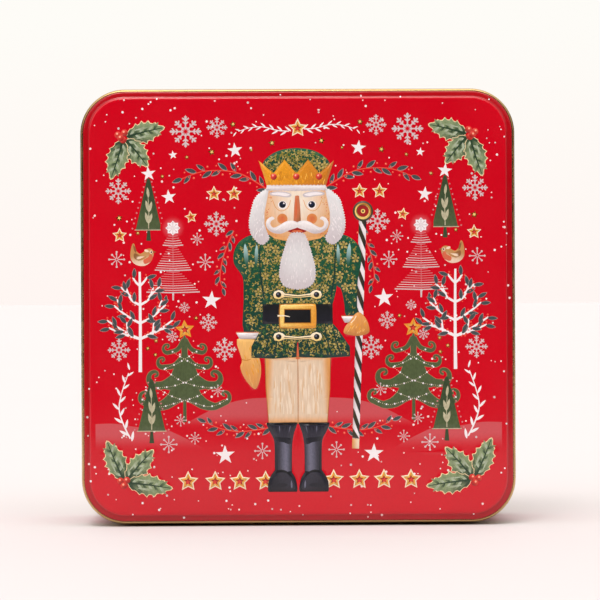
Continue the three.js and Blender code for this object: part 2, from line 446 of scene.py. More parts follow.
class Print:
    def __init__(self):
        self.side = 1
        self.origin = np.zeros(2)
        self.shapes = []
        self.bosses = []

    def place(self, points):
        return outline(points) * (self.side, 1) + self.origin

    def ink(self, shape, name, fade=None):
        """fade is (ink, from point, to point), or (ink, centre, radius) for a round one."""
        shape = anticlockwise(self.place(shape))
        colour, finish = INKS[name]
        if fade is not None:
            start = self.place([fade[1]])[0]
            stop = fade[2] if np.isscalar(fade[2]) else self.place([fade[2]])[0]
            fade = (INKS[fade[0]][0], start, stop)
        self.shapes.append((shape, colour, finish, fade))

    def boss(self, shape, height, slope):
        self.bosses.append((anticlockwise(self.place(shape)), height, slope))

    def press(self, shape, height, slope, name, fade=None):
        """Inks an outline and presses it up."""
        self.boss(shape, height, slope)
        self.ink(shape, name, fade)

    def colour(self, shape, points):
        _, colour, _, fade = self.shapes[shape]
        base = np.array(colour)
        if fade is None:
            return np.repeat(base[None], len(points), 0)
        other, start, stop = fade
        if np.isscalar(stop):
            t = smoothstep(np.hypot(*(points - start).T) / stop)
        else:
            d = stop - start
            t = smoothstep(((points - start) @ d) / (d @ d))
        return base + (np.array(other) - base) * t[:, None]

    def relief(self, points):
        height = np.zeros(len(points))
        for shape, top, slope in self.bosses:
            low, high = shape.min(0) - 0.1, shape.max(0) + 0.1
            near = np.where(np.all((points > low) & (points < high), 1))[0]
            if len(near) == 0:
                continue
            near = near[contains(shape, points[near])]
            if len(near):
                rise = top * np.sin(np.clip(edge_distance(shape, points[near]) / slope, 0, 1) * math.pi / 2)
                height[near] = np.maximum(height[near], rise)
        return height

    def boss_points(self):
        """Extra points just inside the edge of each boss, so that its slope is smooth."""
        extra = []
        for shape, _, slope in self.bosses:
            side = normals(np.concatenate((shape, shape[:1])))[:-1]
            for share in (0.3, 0.65, 1.0):
                for direction in (1, -1):
                    moved = shape + side * direction * slope * share
                    extra.append(moved[contains(shape, moved)])
        return np.concatenate(extra) if extra else np.zeros((0, 2))

    def triangles(self, loops, extra):
        """Cuts the area inside the first loop into triangles along every outline.

        Gives the flat points, the triangles and the uppermost shape over each triangle, or -1.
        """
        points, faces, edges = [], [], []
        for k, loop in enumerate(loops + [shape for shape, *_ in self.shapes]):
            ids = list(range(len(points), len(points) + len(loop)))
            points.extend(loop)
            if k == 0:
                faces.append(ids)
            else:
                edges.extend(zip(ids, ids[1:] + ids[:1]))
        points.extend(extra)
        done = delaunay_2d_cdt([Vector(p) for p in points], edges, faces, 1, 1e-4)
        flat = np.array([tuple(v) for v in done[0]])
        triangles = np.array(done[2])
        middles = flat[triangles].mean(1)
        order = np.argsort(middles[:, 0])
        sorted_x = middles[order, 0]
        tops = np.full(len(triangles), -1)
        for index, (shape, *_) in enumerate(self.shapes):
            low, high = shape.min(0), shape.max(0)
            near = order[np.searchsorted(sorted_x, low[0]):np.searchsorted(sorted_x, high[0])]
            near = near[(middles[near, 1] > low[1]) & (middles[near, 1] < high[1])]
            tops[near[contains(shape, middles[near])]] = index
        return flat, triangles, tops


def lay(build, sheet, flat, triangles, tops, lift, ground):
    """Adds the cut print to a piece. lift turns flat points into points in space."""
    first = len(build.points)
    build.add([tuple(p) for p in lift(flat)])
    corners = flat[triangles]
    for top in np.unique(tops):
        members = np.where(tops == top)[0]
        spots = corners[members].reshape(-1, 2)
        if top < 0:
            colours, finish = np.repeat([INKS[ground][0]], len(spots), 0), INKS[ground][1]
        else:
            colours, finish = sheet.colour(top, spots), sheet.shapes[top][2]
        for index, colour in zip(members, colours.reshape(-1, 3, 3).tolist()):
            build.face((triangles[index] + first).tolist(), finish, colour)


# ---------------------------------------------------------------------------------------
# Motifs
# ---------------------------------------------------------------------------------------

def scatter(sheet, motif, places):
    """The same motif at each place (x, z), in the size given with it."""
    for x, z, size in places:
        motif(sheet, (x, z), size)


def white_star(sheet, centre, radius, lean=6):
    sheet.ink(star(centre, radius, 0.4, lean), "white")


def gold_star(sheet, centre, radius, lean=0, rim="cream"):
    sheet.ink(star(centre, radius, 0.5, lean), rim)
    tips = star(centre, radius * 0.76, 0.5, lean)
    sheet.ink(tips, "gold")
    for k in range(0, 10, 2):
        sheet.ink([tips[k], tips[(k + 1) % 10], centre], "gold_dark", ("gold_light", tips[k], centre))
    sheet.ink(star(centre, radius * 0.42, 0.5, lean), "berry_dark")
    sheet.ink(star((centre[0] - radius * 0.04, centre[1] - radius * 0.06), radius * 0.26, 0.5, lean), "berry")


def glitter(sheet, centre, radius):
    sheet.ink(star(centre, radius, 0.42, 10), "glitter")
    sheet.ink(star((centre[0] + 0.1, centre[1] + 0.1), radius * 0.5, 0.5, 40), "gold_light")


def turned(centre, angle, points):
    c, s = math.cos(math.radians(angle)), math.sin(math.radians(angle))
    x, z = outline(points).T
    return np.stack((centre[0] + x * c - z * s, centre[1] + x * s + z * c), 1)


def snowflake(sheet, centre, radius):
    """Eight arms with twigs, the upright and level ones longest."""
    for k in range(8):
        length = radius * (1.0 if k % 2 == 0 else 0.92)
        angle = 45 * k
        arm = [(0.2, -0.035), (0.8, -0.05), (0.9, -0.09), (1.0, 0), (0.9, 0.09), (0.8, 0.05), (0.2, 0.035)]
        sheet.ink(turned(centre, angle, outline(arm) * length), "frost")
        for along, reach in ((0.42, 0.2), (0.62, 0.25)):
            for side in (1, -1):
                twig = [(along, 0), (along + reach * 0.7, side * reach * 0.9),
                        (along + reach, side * reach * 0.75), (along + 0.14, 0)]
                sheet.ink(turned(centre, angle, outline(twig) * length), "frost")
    sheet.ink(star(centre, radius * 0.36, 0.72, 0, 8), "frost")
    sheet.ink(star(centre, radius * 0.24, 0.6, 22, 8), "pink")
    sheet.ink(disc(centre, radius * 0.11, 8), "ground")


def asterisk(sheet, centre, radius, ink="frost"):
    """A snowflake of dotted spokes."""
    for k in range(8):
        length = radius * (1.0 if k % 2 == 0 else 0.86)
        spoke = [(0.12, -0.045), (0.82, -0.06), (0.82, 0.06), (0.12, 0.045)]
        sheet.ink(turned(centre, 45 * k, outline(spoke) * length), ink)
        sheet.ink(disc(turned(centre, 45 * k, [(length * 0.9, 0)])[0], radius * 0.13, 8), ink)


def resampled(line, spacing):
    line = outline(line)
    run = np.concatenate(((0,), np.cumsum(np.hypot(*np.diff(line, axis=0).T))))
    places = np.linspace(0, run[-1], max(2, int(run[-1] / spacing) + 1))
    return np.stack((np.interp(places, run, line[:, 0]), np.interp(places, run, line[:, 1])), 1)


def needle_sprig(sheet, line, spacing, length, width, ink="white", taper=0.35):
    """A stem with a pair of slim leaves every so often."""
    path = smooth(line, closed=False)
    sheet.ink(stroke(path, width * 0.55, width * 0.3), ink)
    knots = resampled(path, spacing)
    heading = np.gradient(knots, axis=0)
    for k, (p, d) in enumerate(zip(knots, heading)):
        d = d / np.hypot(*d)
        share = 1 - taper * k / len(knots)
        for side in (1, -1):
            across = np.array((-d[1], d[0])) * side
            start = p + d * (0.25 if side > 0 else -0.25) * spacing
            sheet.ink(leaf(start, start + (d * 0.85 + across * 0.6) * length * share, width * share), ink)


def berry_branch(sheet, line, spacing=4.3, length=6.0, width=1.7, flip=1):
    """A red stem with slim grey leaves on both sides, and small berries between them."""
    path = smooth(line, closed=False)
    knots = resampled(path, spacing)
    heading = np.gradient(knots, axis=0)
    heading /= np.hypot(*heading.T)[:, None]
    sheet.ink(stroke(path, 0.6, 0.4), "stem")

    def grey_leaf(start, tip, broad):
        sheet.ink(leaf(start, tip, broad + 0.25), "grey_leaf_edge")
        reach = tip - start
        shift = np.array((reach[1], -reach[0])) / np.hypot(*reach) * 0.12
        sheet.ink(leaf(start + reach * 0.04 + shift, tip - reach * 0.07 + shift, broad - 0.1), "grey_leaf")

    for k, (p, d) in enumerate(zip(knots[:-1], heading[:-1])):
        normal = np.array((-d[1], d[0]))
        side = flip if k % 2 == 0 else -flip
        for turn_side, lean, share, slide in ((side, 0.5, 1.0, 0.0), (-side, 0.62, 0.85, 0.5)):
            across = normal * turn_side
            start = p + across * 0.3 + d * spacing * slide
            grey_leaf(start, start + (d * (1.0 - lean * 0.3) + across * lean) * length * share, width * share)
        for offset, slide, size in ((-1.9, 0.3, 0.55), (1.7, 0.85, 0.42), (-0.9, 0.65, 0.36)):
            berry = p + normal * side * offset + d * spacing * slide
            sheet.ink(disc(berry, size, 8), "stem")
            sheet.ink(disc(berry + (0.12, 0.14), size * 0.4, 6), "berry_light")
    grey_leaf(path[-1], path[-1] + heading[-1] * length * 0.9, width)


def holly(sheet, centre, tips, berries, width=8.2):
    """Spiny leaves with a pale rim and a dark vein, and a cluster of berries over their stalks."""
    centre = outline(centre)
    for tip in tips:
        tip = outline(tip)
        along = (tip - centre) / np.hypot(*(tip - centre))
        across = np.array((-along[1], along[0]))
        base = centre + along * 1.2
        sheet.boss(leaf(base, tip, width * 0.86, 0.45), 0.3, 1.6)
        sheet.ink(holly_leaf(base, tip, width), "holly_edge")
        sheet.ink(holly_leaf(base, tip, width, 0.42), "holly",
                  ("holly_dark", centre + along * 9 + across * 5, base))
        length = np.hypot(*(tip - base))
        for side in (1, -1):
            for k, share in enumerate((0.1, 0.22, 0.34, 0.46, 0.58, 0.7)):
                start = base + along * length * share
                end = start + along * length * 0.17 + across * side * width * (0.34 - 0.12 * abs(share - 0.4))
                light = "holly_light" if (k + (side > 0)) % 2 else "holly_dark"
                sheet.ink(leaf(start, end, 1.25), light, ("holly", start, end))
            flank = [base + along * length * t + across * side * width * 0.19 for t in (0.24, 0.45, 0.66)]
            sheet.ink(stroke(flank, 0.3, 0.3, 1.1), "holly_light", ("holly", flank[0], flank[2]))
        sheet.ink(stroke([base, base + along * length * 0.5 + across * 0.25, tip - along * 1.2], 1.0, 0.3),
                  "holly_dark")
    for offset in berries:
        p = centre + outline(offset)
        sheet.boss(disc(p, 1.5), 0.35, 1.0)
        sheet.ink(disc(p, 1.6, 12), "berry", ("berry_dark", p + (-0.6, 0.6), p + (0.9, -1.3)))
        sheet.ink(disc(p + (-0.3, 0.45), 0.5, 8), "berry_light")


def cone_tree(sheet, apex, base_z, half, trunk_z):
    """A slim fir with a pale sprig on it and beads down both sides."""
    x, top = apex
    height = top - base_z
    body = [(x - half, base_z), (x + half, base_z), (x + 0.7, top - 0.5), (x, top), (x - 0.7, top - 0.5)]
    sheet.boss(body, 0.22, 1.2)
    sheet.ink([(x - 1.1, trunk_z), (x + 1.1, trunk_z), (x + 0.6, base_z), (x - 0.6, base_z)], "fir_dark")
    sheet.ink(body, "fir", ("fir_dark", (x + half * 0.2, base_z), (x + half, base_z + height * 0.6)))
    sheet.ink([(x - half - 0.5, base_z - 0.25), (x + half + 0.5, base_z - 0.25),
               (x + half + 0.5, base_z + 0.15), (x - half - 0.5, base_z + 0.15)], "fir_leaf")
    for p, tip, width in (
        ((x, base_z + height * 0.62), (x - 0.5, base_z + height * 0.82), 1.3),
        ((x + 0.2, base_z + height * 0.34), (x - 1.3, base_z + height * 0.57), 1.5),
        ((x + 0.2, base_z + height * 0.34), (x + 1.5, base_z + height * 0.55), 1.5),
        ((x, base_z + height * 0.12), (x - 1.5, base_z + height * 0.34), 1.6),
        ((x, base_z + height * 0.12), (x + 1.6, base_z + height * 0.32), 1.6),
    ):
        sheet.ink(leaf(p, tip, width), "fir_leaf")
    sheet.ink(stroke([(x, base_z + 0.6), (x + 0.15, base_z + height * 0.35),
                      (x - 0.2, base_z + height * 0.65)], 0.45, 0.25), "fir_leaf")
    for k in range(10):
        share = k / 9
        for side in (1, -1):
            place = (x + side * (half * (1 - share) + 1.5), base_z + 0.6 + height * 0.9 * share)
            sheet.ink(disc(place, 0.42, 6), "pink")


def line_tree(sheet, x, star_z, tiers, trunk_z):
    """A tree of level lines in tiers, with a glowing star."""
    sheet.ink(disc((x, star_z), 5.8, 24), "glow", ("ground", (x, star_z), 5.6))
    top = star_z - 1.5
    for bottom, half in tiers:
        count = round((top - bottom) / 1.08)
        for k in range(count + 1):
            z = top - (top - bottom) * k / count
            reach = half * (0.14 + 0.86 * (k / count) ** 0.9)
            thick = 0.52 if k == count else 0.33
            line = [(x - reach, z + 0.1), (x, z - 0.25), (x + reach, z + 0.1)]
            sheet.ink(stroke(line, thick), "frost" if k > count * 0.6 else "pink")
        top = bottom + (top - bottom) * 0.02
    sheet.ink(stroke([(x, tiers[-1][0]), (x, trunk_z)], 0.9, 0.7), "frost")
    sheet.ink(stroke([(x, star_z - 1), (x, tiers[-1][0])], 0.25), "pink")
    sheet.ink(star((x, star_z), 3.4, 0.75, 0, 8), "white")
    asterisk(sheet, (x, star_z), 2.8, "frost")


def robin(sheet, centre):
    """A small round bird that faces the middle of the lid."""
    x, z = centre
    body = smooth([(x - 5.2, z + 1.2), (x - 4.9, z - 2.0), (x - 2.6, z - 4.4), (x + 1.0, z - 4.9),
                   (x + 3.9, z - 3.2), (x + 5.3, z - 0.2), (x + 5.4, z + 1.7), (x + 4.2, z + 2.9),
                   (x + 2.3, z + 2.8), (x + 0.8, z + 1.4), (x - 1.0, z + 0.7), (x - 2.6, z + 2.2),
                   (x - 3.4, z + 5.2), (x - 4.4, z + 4.8)])
    sheet.press(body, 0.25, 1.4, "robin", ("robin_belly", (x - 0.5, z + 0.6), (x + 0.2, z - 4.6)))
    sheet.ink(smooth([(x + 5.0, z - 0.5), (x + 4.2, z - 2.9), (x + 1.4, z - 4.0), (x + 0.8, z - 2.2),
                      (x + 3.0, z - 0.9), (x + 3.6, z + 0.4)]), "robin_breast")
    sheet.ink(smooth([(x - 3.2, z + 0.9), (x - 3.5, z - 1.2), (x - 1.4, z - 2.5), (x + 1.2, z - 1.7),
                      (x + 2.2, z - 0.4), (x - 0.4, z - 0.2)]), "robin_dark",
              ("robin", (x - 3, z), (x + 1.5, z - 1.5)))
    for k in range(3):
        sheet.ink(leaf((x + 1.4 - k * 0.8, z - 0.7 - k * 0.35), (x - 2.6, z - 0.9 - k * 0.45), 0.5),
                  "robin_belly")
    sheet.ink(leaf((x - 2.6, z + 1.0), (x - 3.8, z + 4.8), 1.0), "robin_dark")
    sheet.ink(ellipse((x + 2.2, z + 2.0), 1.1, 0.6, 10, -20), "robin_belly")
    sheet.ink([(x + 5.2, z + 1.9), (x + 6.6, z + 1.5), (x + 5.3, z + 1.0)], "robin_dark")
    sheet.ink(disc((x + 4.3, z + 1.4), 0.75, 10), "robin_belly")
    sheet.ink(disc((x + 4.4, z + 1.4), 0.42, 8), "black")


def snow_tree(sheet, x, top, foot, arms, boughs):
    """A bare white tree with grey leaves and red berries."""
    def bough(points, start, end):
        path = smooth(points, closed=False)
        sheet.ink(stroke(path, start, end), "white")
        return path

    bough([(x, foot), (x + 0.1, (foot + top) / 2), (x - 0.1, top)], 1.6, 1.0)
    leaves = []
    for joint, tip, bend in arms:
        path = bough([joint, bend, tip], 1.2, 0.75)
        knots = resampled(path, 3.6)[1:]
        heading = np.gradient(knots, axis=0) if len(knots) > 1 else [np.subtract(tip, bend)]
        leaves += [(p, d / np.hypot(*d), 1 if k % 2 else -1) for k, (p, d) in enumerate(zip(knots, heading))]
    for start, tip in boughs:
        path = bough([start, tip], 0.95, 0.7)
        d = path[-1] - path[0]
        leaves += [(path[-1], d / np.hypot(*d), 1), (path[-1] - d * 0.35, d / np.hypot(*d), -1)]
    for k, (p, d, side) in enumerate(leaves):
        across = np.array((-d[1], d[0])) * side
        start = p + across * 0.2 - d * 0.6
        tip = start + (d * 0.85 + across * 0.6) * 4.6
        sheet.ink(leaf(start, tip, 1.9), "grey_leaf_edge")
        sheet.ink(leaf(start, start + (tip - start) * 0.95, 1.65), "grey_leaf")
        sheet.ink(disc(p - across * 1.1 + d * 0.4, 0.5, 6), "stem")
        sheet.ink(disc(p - across * 0.9 - d * 1.2, 0.36, 6), "stem")


def curl(root, bend, reach, low_z, height, thick):
    """The path and widths of a bough that sweeps out from the trunk, then curls up and back."""
    radius = (height - thick * 0.7) / 1.75
    centre = np.array((reach - radius * 0.8 - thick * 0.3, low_z + thick / 2 + radius))
    angle = np.arange(-90, 91, 15)
    reach_of = radius * np.interp(angle, (-90, 0, 90), (1.0, 0.8, 0.75))
    hook = centre + np.stack((np.cos(np.radians(angle)), np.sin(np.radians(angle))), 1) * reach_of[:, None]
    small = radius * 0.3
    turn = np.radians(np.arange(110, 291, 30))
    end = hook[-1] - (0, small) + np.stack((np.cos(turn), np.sin(turn)), 1) * small
    sweep = smooth([root, bend, hook[0]], closed=False)
    widths = np.concatenate((np.linspace(thick * 1.15, thick, len(sweep)),
                             np.interp(angle[1:], (-90, 0, 90), (thick, thick * 0.58, thick * 0.36)),
                             np.linspace(max(thick * 0.32, 0.7), 0.8, len(end))))
    return np.concatenate((sweep, hook[1:], end)), widths


def curly_tree(sheet, x, boughs, body, foot_z, lights):
    """A broad tree with curled boughs and strings of lights. Its lists hold the right half from the trunk."""
    trunk = smooth(mirrored(body), steps=2)
    sheet.boss(trunk + (x, 0), 0.25, 1.6)
    foot = mirrored([(0.05, body[-1][1] + 1), (0.65, body[-1][1] + 1), (0.75, foot_z), (0.05, foot_z)])
    curls = [curl(*bough) for bough in boughs]
    for rim, ink in ((0.45, "fir_rim"), (0.0, "fir")):
        outlines = [foot, trunk]
        for path, widths in curls:
            across = normals(path) * (widths + rim)[:, None] / 2
            outlines.append(np.concatenate((path + across, (path - across)[::-1])))
        for shape in outlines[:2]:
            grown = shape * (1 + rim / 6, 1) if rim and shape is foot else shape
            sheet.ink(grown + (x, 0), ink)
        if rim:
            sheet.ink(stroke(np.concatenate((trunk, trunk[:1])), rim, rim) + (x, 0), ink)
        for shape in outlines[2:]:
            for side in (1, -1):
                sheet.ink(shape * (side, 1) + (x, 0), ink)
    for string in lights:
        for k, p in enumerate(resampled(smooth(string, closed=False), 0.95)):
            size, ink = (0.44, "white") if k % 4 == 0 else (0.17, "cream")
            for side in (1, -1):
                sheet.ink(disc(p * (side, 1) + (x, 0), size, 6), ink)


# ---------------------------------------------------------------------------------------
# The toy soldier in the middle of the lid
# ---------------------------------------------------------------------------------------

def frayed(shape, spacing, depth, rng):
    """A furry edge: small points all the way round."""
    ring = resampled(np.concatenate((shape, shape[:1])), spacing)[:-1]
    side = -normals(np.concatenate((ring, ring[:1])))[:-1]
    side *= np.array([rng.uniform(0.35, 1.0) if k % 2 else -0.2 for k in range(len(ring))])[:, None]
    return ring + side * depth


def brocade(sheet, shapes, rng, pitch):
    """Rosettes, scrolls and specks of gold and green thread inside each shape."""
    for shape in shapes:
        low, high = shape.min(0), shape.max(0)
        for x in np.arange(low[0], high[0], pitch):
            for z in np.arange(low[1], high[1], pitch):
                p = np.array((x + rng.uniform(0, pitch * 0.9), z + rng.uniform(0, pitch * 0.9)))
                turn, size = rng.uniform(0, 360), rng.uniform(0.4, 0.85)
                a = np.radians(np.linspace(0, rng.uniform(130, 250), 5))
                scroll = turned(p, turn, np.stack((np.cos(a), np.sin(a)), 1) * size)
                scroll = stroke(scroll, 0.5, 0.3)
                if contains(shape, scroll).all():
                    sheet.ink(scroll, rng.choice(("brocade", "brocade", "brocade_light", "brocade_green")))
        for x in np.arange(low[0], high[0], 5.6):
            for z in np.arange(low[1], high[1], 6.2):
                p = np.array((x + rng.uniform(0, 2.6), z + rng.uniform(0, 2.6)))
                if contains(shape, disc(p, 2.2, 12)).all():
                    for k in range(5):
                        sheet.ink(disc(turned(p, 72 * k + 20, [(1.2, 0)])[0], 0.62, 7), "brocade_light")
                        sheet.ink(disc(turned(p, 72 * k + 56, [(1.35, 0)])[0], 0.4, 6), "coat_dark")
                    sheet.ink(disc(p, 0.55, 8), "brocade")


def mirrored(points):
    """A closed outline from its right half, listed from top to bottom."""
    right = outline(points)
    return np.concatenate((right, (right * (-1, 1))[::-1]))


def both_sides(sheet, draw):
    for side in (1, -1):
        sheet.side = side
        draw()
    sheet.side = 1


def staff(sheet):
    """The striped staff in the soldier's hand, with a ball on top."""
    top, foot = np.array((29.7, 40.5)), np.array((25.9, -65.5))
    along = (foot - top) / np.hypot(*(foot - top))
    across = np.array((-along[1], along[0]))
    length = np.hypot(*(foot - top))
    half = 1.72
    shaft = [top + across * half, foot + across * half * 0.92, foot - across * half * 0.92,
             top - across * half]
    sheet.press(shaft, 0.5, 1.2, "white", ("hair_shade", top + across * 0.2, top - across * half))
    pitch, band, drop = 9.4, 4.5, 8.0
    for k in range(-1, int(length / pitch)):
        start = top + along * (pitch * k + 2.6)
        stripe = [start - across * half, start + along * band - across * half,
                  start + along * (band + drop) + across * half, start + along * drop + across * half]
        reach = [min(max((point - top) @ along, 0), length - 4.6) for point in stripe]
        stripe = [top + along * depth + across * side * half * (1 - 0.08 * depth / length)
                  for depth, side in zip(reach, (-1, -1, 1, 1))]
        sheet.ink(stripe, "staff_dark", ("boot_dark", start, start + across * half))
    tip = foot - along * 4.6
    sheet.ink([tip + across * half * 0.94, foot + across * half * 0.92, foot - across * half * 0.92,
               tip - across * half * 0.94], "tan", ("cream", foot - across * half, foot + across * half))
    ball = np.array((29.8, 43.4))
    sheet.press(disc(ball, 4.7, 24), 0.6, 1.6, "staff_dark")
    sheet.ink(disc(ball, 3.8, 24), "gold_dark", ("gold_light", ball + (2.5, 2.5), ball + (-2.5, -2.5)))
    sheet.ink(disc(ball, 3.1, 24), "staff_dark", ("gold_light", ball + (-2.5, 2.5), ball + (2.5, -2.5)))
    sheet.ink(disc(ball, 2.7, 20), "berry_dark")
    sheet.ink(disc(ball, 1.0, 12), "gold_light")
    sheet.ink(disc(ball, 0.5, 8), "staff_dark")


def face(sheet, rng):
    head = mirrored([(0.1, 54), (12.8, 54), (13.6, 50), (15.0, 43), (15.0, 37.5), (13.6, 33.4), (10.6, 31.0),
                     (6, 30.0), (0.1, 29.8)])
    sheet.press(head, 0.55, 2.2, "skin_light", ("tan", (0, 47.5), 21.5))

    def cheeks():
        for _ in range(46):
            z = rng.uniform(31.5, 53)
            edge = np.interp(z, (31, 34, 38, 43, 50, 54), (9.5, 13.0, 14.4, 14.4, 13.0, 12.2))
            x = edge - abs(rng.gauss(0, 0.9))
            sheet.ink(disc((x, z), rng.uniform(0.16, 0.3), 5), rng.choice(("nose", "tan", "cheek")))
        sheet.ink(stroke(smooth([(2.9, 48.6), (4.4, 44.9), (7.4, 43.6), (9.8, 45.2), (11.3, 48.6)], False),
                         0.25, 0.3), "tan")
        sheet.ink(ellipse((6.7, 46.4), 2.05, 1.9, 16), "white")
        sheet.ink(disc((6.7, 46.5), 1.55, 14), "iris", ("black", (6.7, 46.5), 1.2))
        sheet.ink(disc((6.1, 47.1), 0.4, 8), "white")
        sheet.ink(smooth([(2.7, 51.3), (5.5, 52.4), (9.4, 52.6), (12.5, 51.9), (12.0, 50.8), (8.8, 50.4),
                          (5.4, 49.9), (3.2, 50.0)]), "hair_shade")
        sheet.ink(smooth([(3.3, 51.1), (5.8, 51.9), (9.3, 52.1), (11.7, 51.6), (11.0, 51.1), (8.0, 50.8),
                          (5.2, 50.4)]), "white")
        sheet.ink(disc((6.8, 40.0), 2.4, 16), "cheek", ("tan", (6.8, 40.0), 3.6))

    both_sides(sheet, cheeks)
    nose = mirrored([(0.05, 50.7), (0.9, 50.5), (1.35, 46), (1.6, 41), (1.7, 39.2), (1.2, 38.3),
                     (0.05, 38.1)])
    sheet.press(nose, 0.85, 1.0, "nose", ("robin_dark", (0.6, 44), (3.4, 43)))
    sheet.ink(leaf((-0.55, 40), (-0.35, 49.8), 0.9), "cheek")
    mouth = smooth(mirrored([(0.05, 36.2), (1.9, 35.7), (4.2, 34.4), (2.5, 33.6), (0.05, 33.2)]))
    sheet.ink(mouth, "berry_dark")
    sheet.ink(smooth(mirrored([(0.05, 34.8), (1.6, 34.7), (2.6, 34.2), (1.6, 33.8), (0.05, 33.7)])), "cheek")


def beard(sheet, rng):
    shape = smooth(mirrored([(0.1, 34.0), (3.0, 33.4), (4.8, 30.5), (6.2, 26.0), (7.8, 20.4), (8.5, 15.0),
                             (7.6, 10.8), (4.6, 8.2), (0.1, 7.4)]), steps=3)
    sheet.boss(shape, 0.75, 3.0)
    sheet.ink(frayed(shape, 0.6, 0.5, rng), "wool", ("hair_shade", (0, 22), 17.5))
    for _ in range(60):
        x, z = rng.uniform(-6.4, 6.4), rng.uniform(10.5, 31)
        if abs(x) < 3.4 + (31 - z) * 0.22:
            sheet.ink(leaf((x, z), (x * 1.04, z - rng.uniform(0.9, 2.0)), 0.26),
                      rng.choice(("hair", "white")))

    def moustache():
        shape = smooth([(-0.3, 38.2), (2.6, 39.2), (5.6, 38.6), (8.4, 36.9), (10.8, 36.0), (12.2, 37.2),
                        (12.0, 39.0), (10.4, 40.0), (11.4, 41.0), (13.3, 40.2), (14.4, 38.0), (13.6, 35.4),
                        (11.0, 33.6), (7.4, 33.2), (4.0, 34.6), (-0.3, 36.2)])
        sheet.press(shape, 0.85, 1.2, "hair", ("hair_shade", (6, 37.6), (7.2, 31.6)))
        for k in range(4):
            start = (1.6 + k * 2.2, 37.4 - k * 0.5)
            sheet.ink(leaf(start, (start[0] + 2.4, start[1] - 1.5), 0.32), "hair")

    both_sides(sheet, moustache)


def hair(sheet, rng):
    def locks():
        shape = smooth([(12.6, 53.8), (16.8, 52.2), (19.6, 49.4), (21.2, 44.6), (22.2, 39.4), (21.9, 34.6),
                        (19.8, 30.6), (16.6, 28.0), (13.8, 29.2), (12.6, 31.4), (13.8, 34.5), (14.4, 42.0)],
                       steps=3)
        sheet.boss(shape, 0.65, 2.4)
        sheet.ink(frayed(shape, 0.6, 0.55, rng), "wool", ("hair_shade", (22, 46), (12.5, 28)))
        for _ in range(44):
            z = rng.uniform(32, 50)
            x = rng.uniform(15.2, 20.2 - max(0, z - 44) * 0.35)
            sheet.ink(leaf((x, z), (x + rng.uniform(0.1, 0.8), z - rng.uniform(0.9, 2.0)), 0.28),
                      rng.choice(("hair", "white")))

    both_sides(sheet, locks)


def crown(sheet, rng):
    dome = smooth(mirrored([(0.1, 72.5), (5.2, 72.0), (9.2, 70.8), (12.8, 68.6), (15.4, 65.4), (14.4, 61.0),
                            (12.4, 57.5), (0.1, 57.0)]), steps=3)
    sheet.press(dome, 0.55, 2.2, "coat", ("coat_dark", (0, 72), (0, 60)))
    brocade(sheet, [dome], rng, 1.0)
    gold = mirrored([(0.05, 61.3), (0.4, 61.2), (5.4, 67.2), (10.5, 60.9), (17.3, 66.8), (15.2, 60.5),
                     (13.4, 54.6), (0.05, 54.6)])
    sheet.press(gold, 0.8, 1.3, "crown", ("crown_dark", (-10, 62), (14, 56)))
    for _ in range(70):
        x, z = rng.uniform(-13.0, 13.0), rng.uniform(55.4, 60.2)
        sheet.ink(leaf((x, z), (x + rng.uniform(-0.4, 0.4), z + rng.uniform(1.0, 2.4)), 0.4),
                  rng.choice(("crown_light", "crown_dark", "crown_dark", "crown")))
    for x in (-10.4, 0, 10.4):
        sheet.boss(disc((x, 59.3), 1.5), 0.95, 0.7)
        sheet.ink(disc((x, 59.3), 1.5, 14), "berry", ("berry_dark", (x - 0.4, 59.6), (x + 0.8, 58.2)))
        sheet.ink(disc((x - 0.4, 59.8), 0.42, 8), "berry_light")
    band = mirrored([(0.1, 55.5), (13.6, 55.5), (14.1, 53.0), (0.1, 52.7)])
    sheet.boss(band, 0.75, 0.8)
    sheet.ink(frayed(band, 0.8, 0.3, rng), "hair", ("hair_shade", (0, 55), (0, 52.4)))


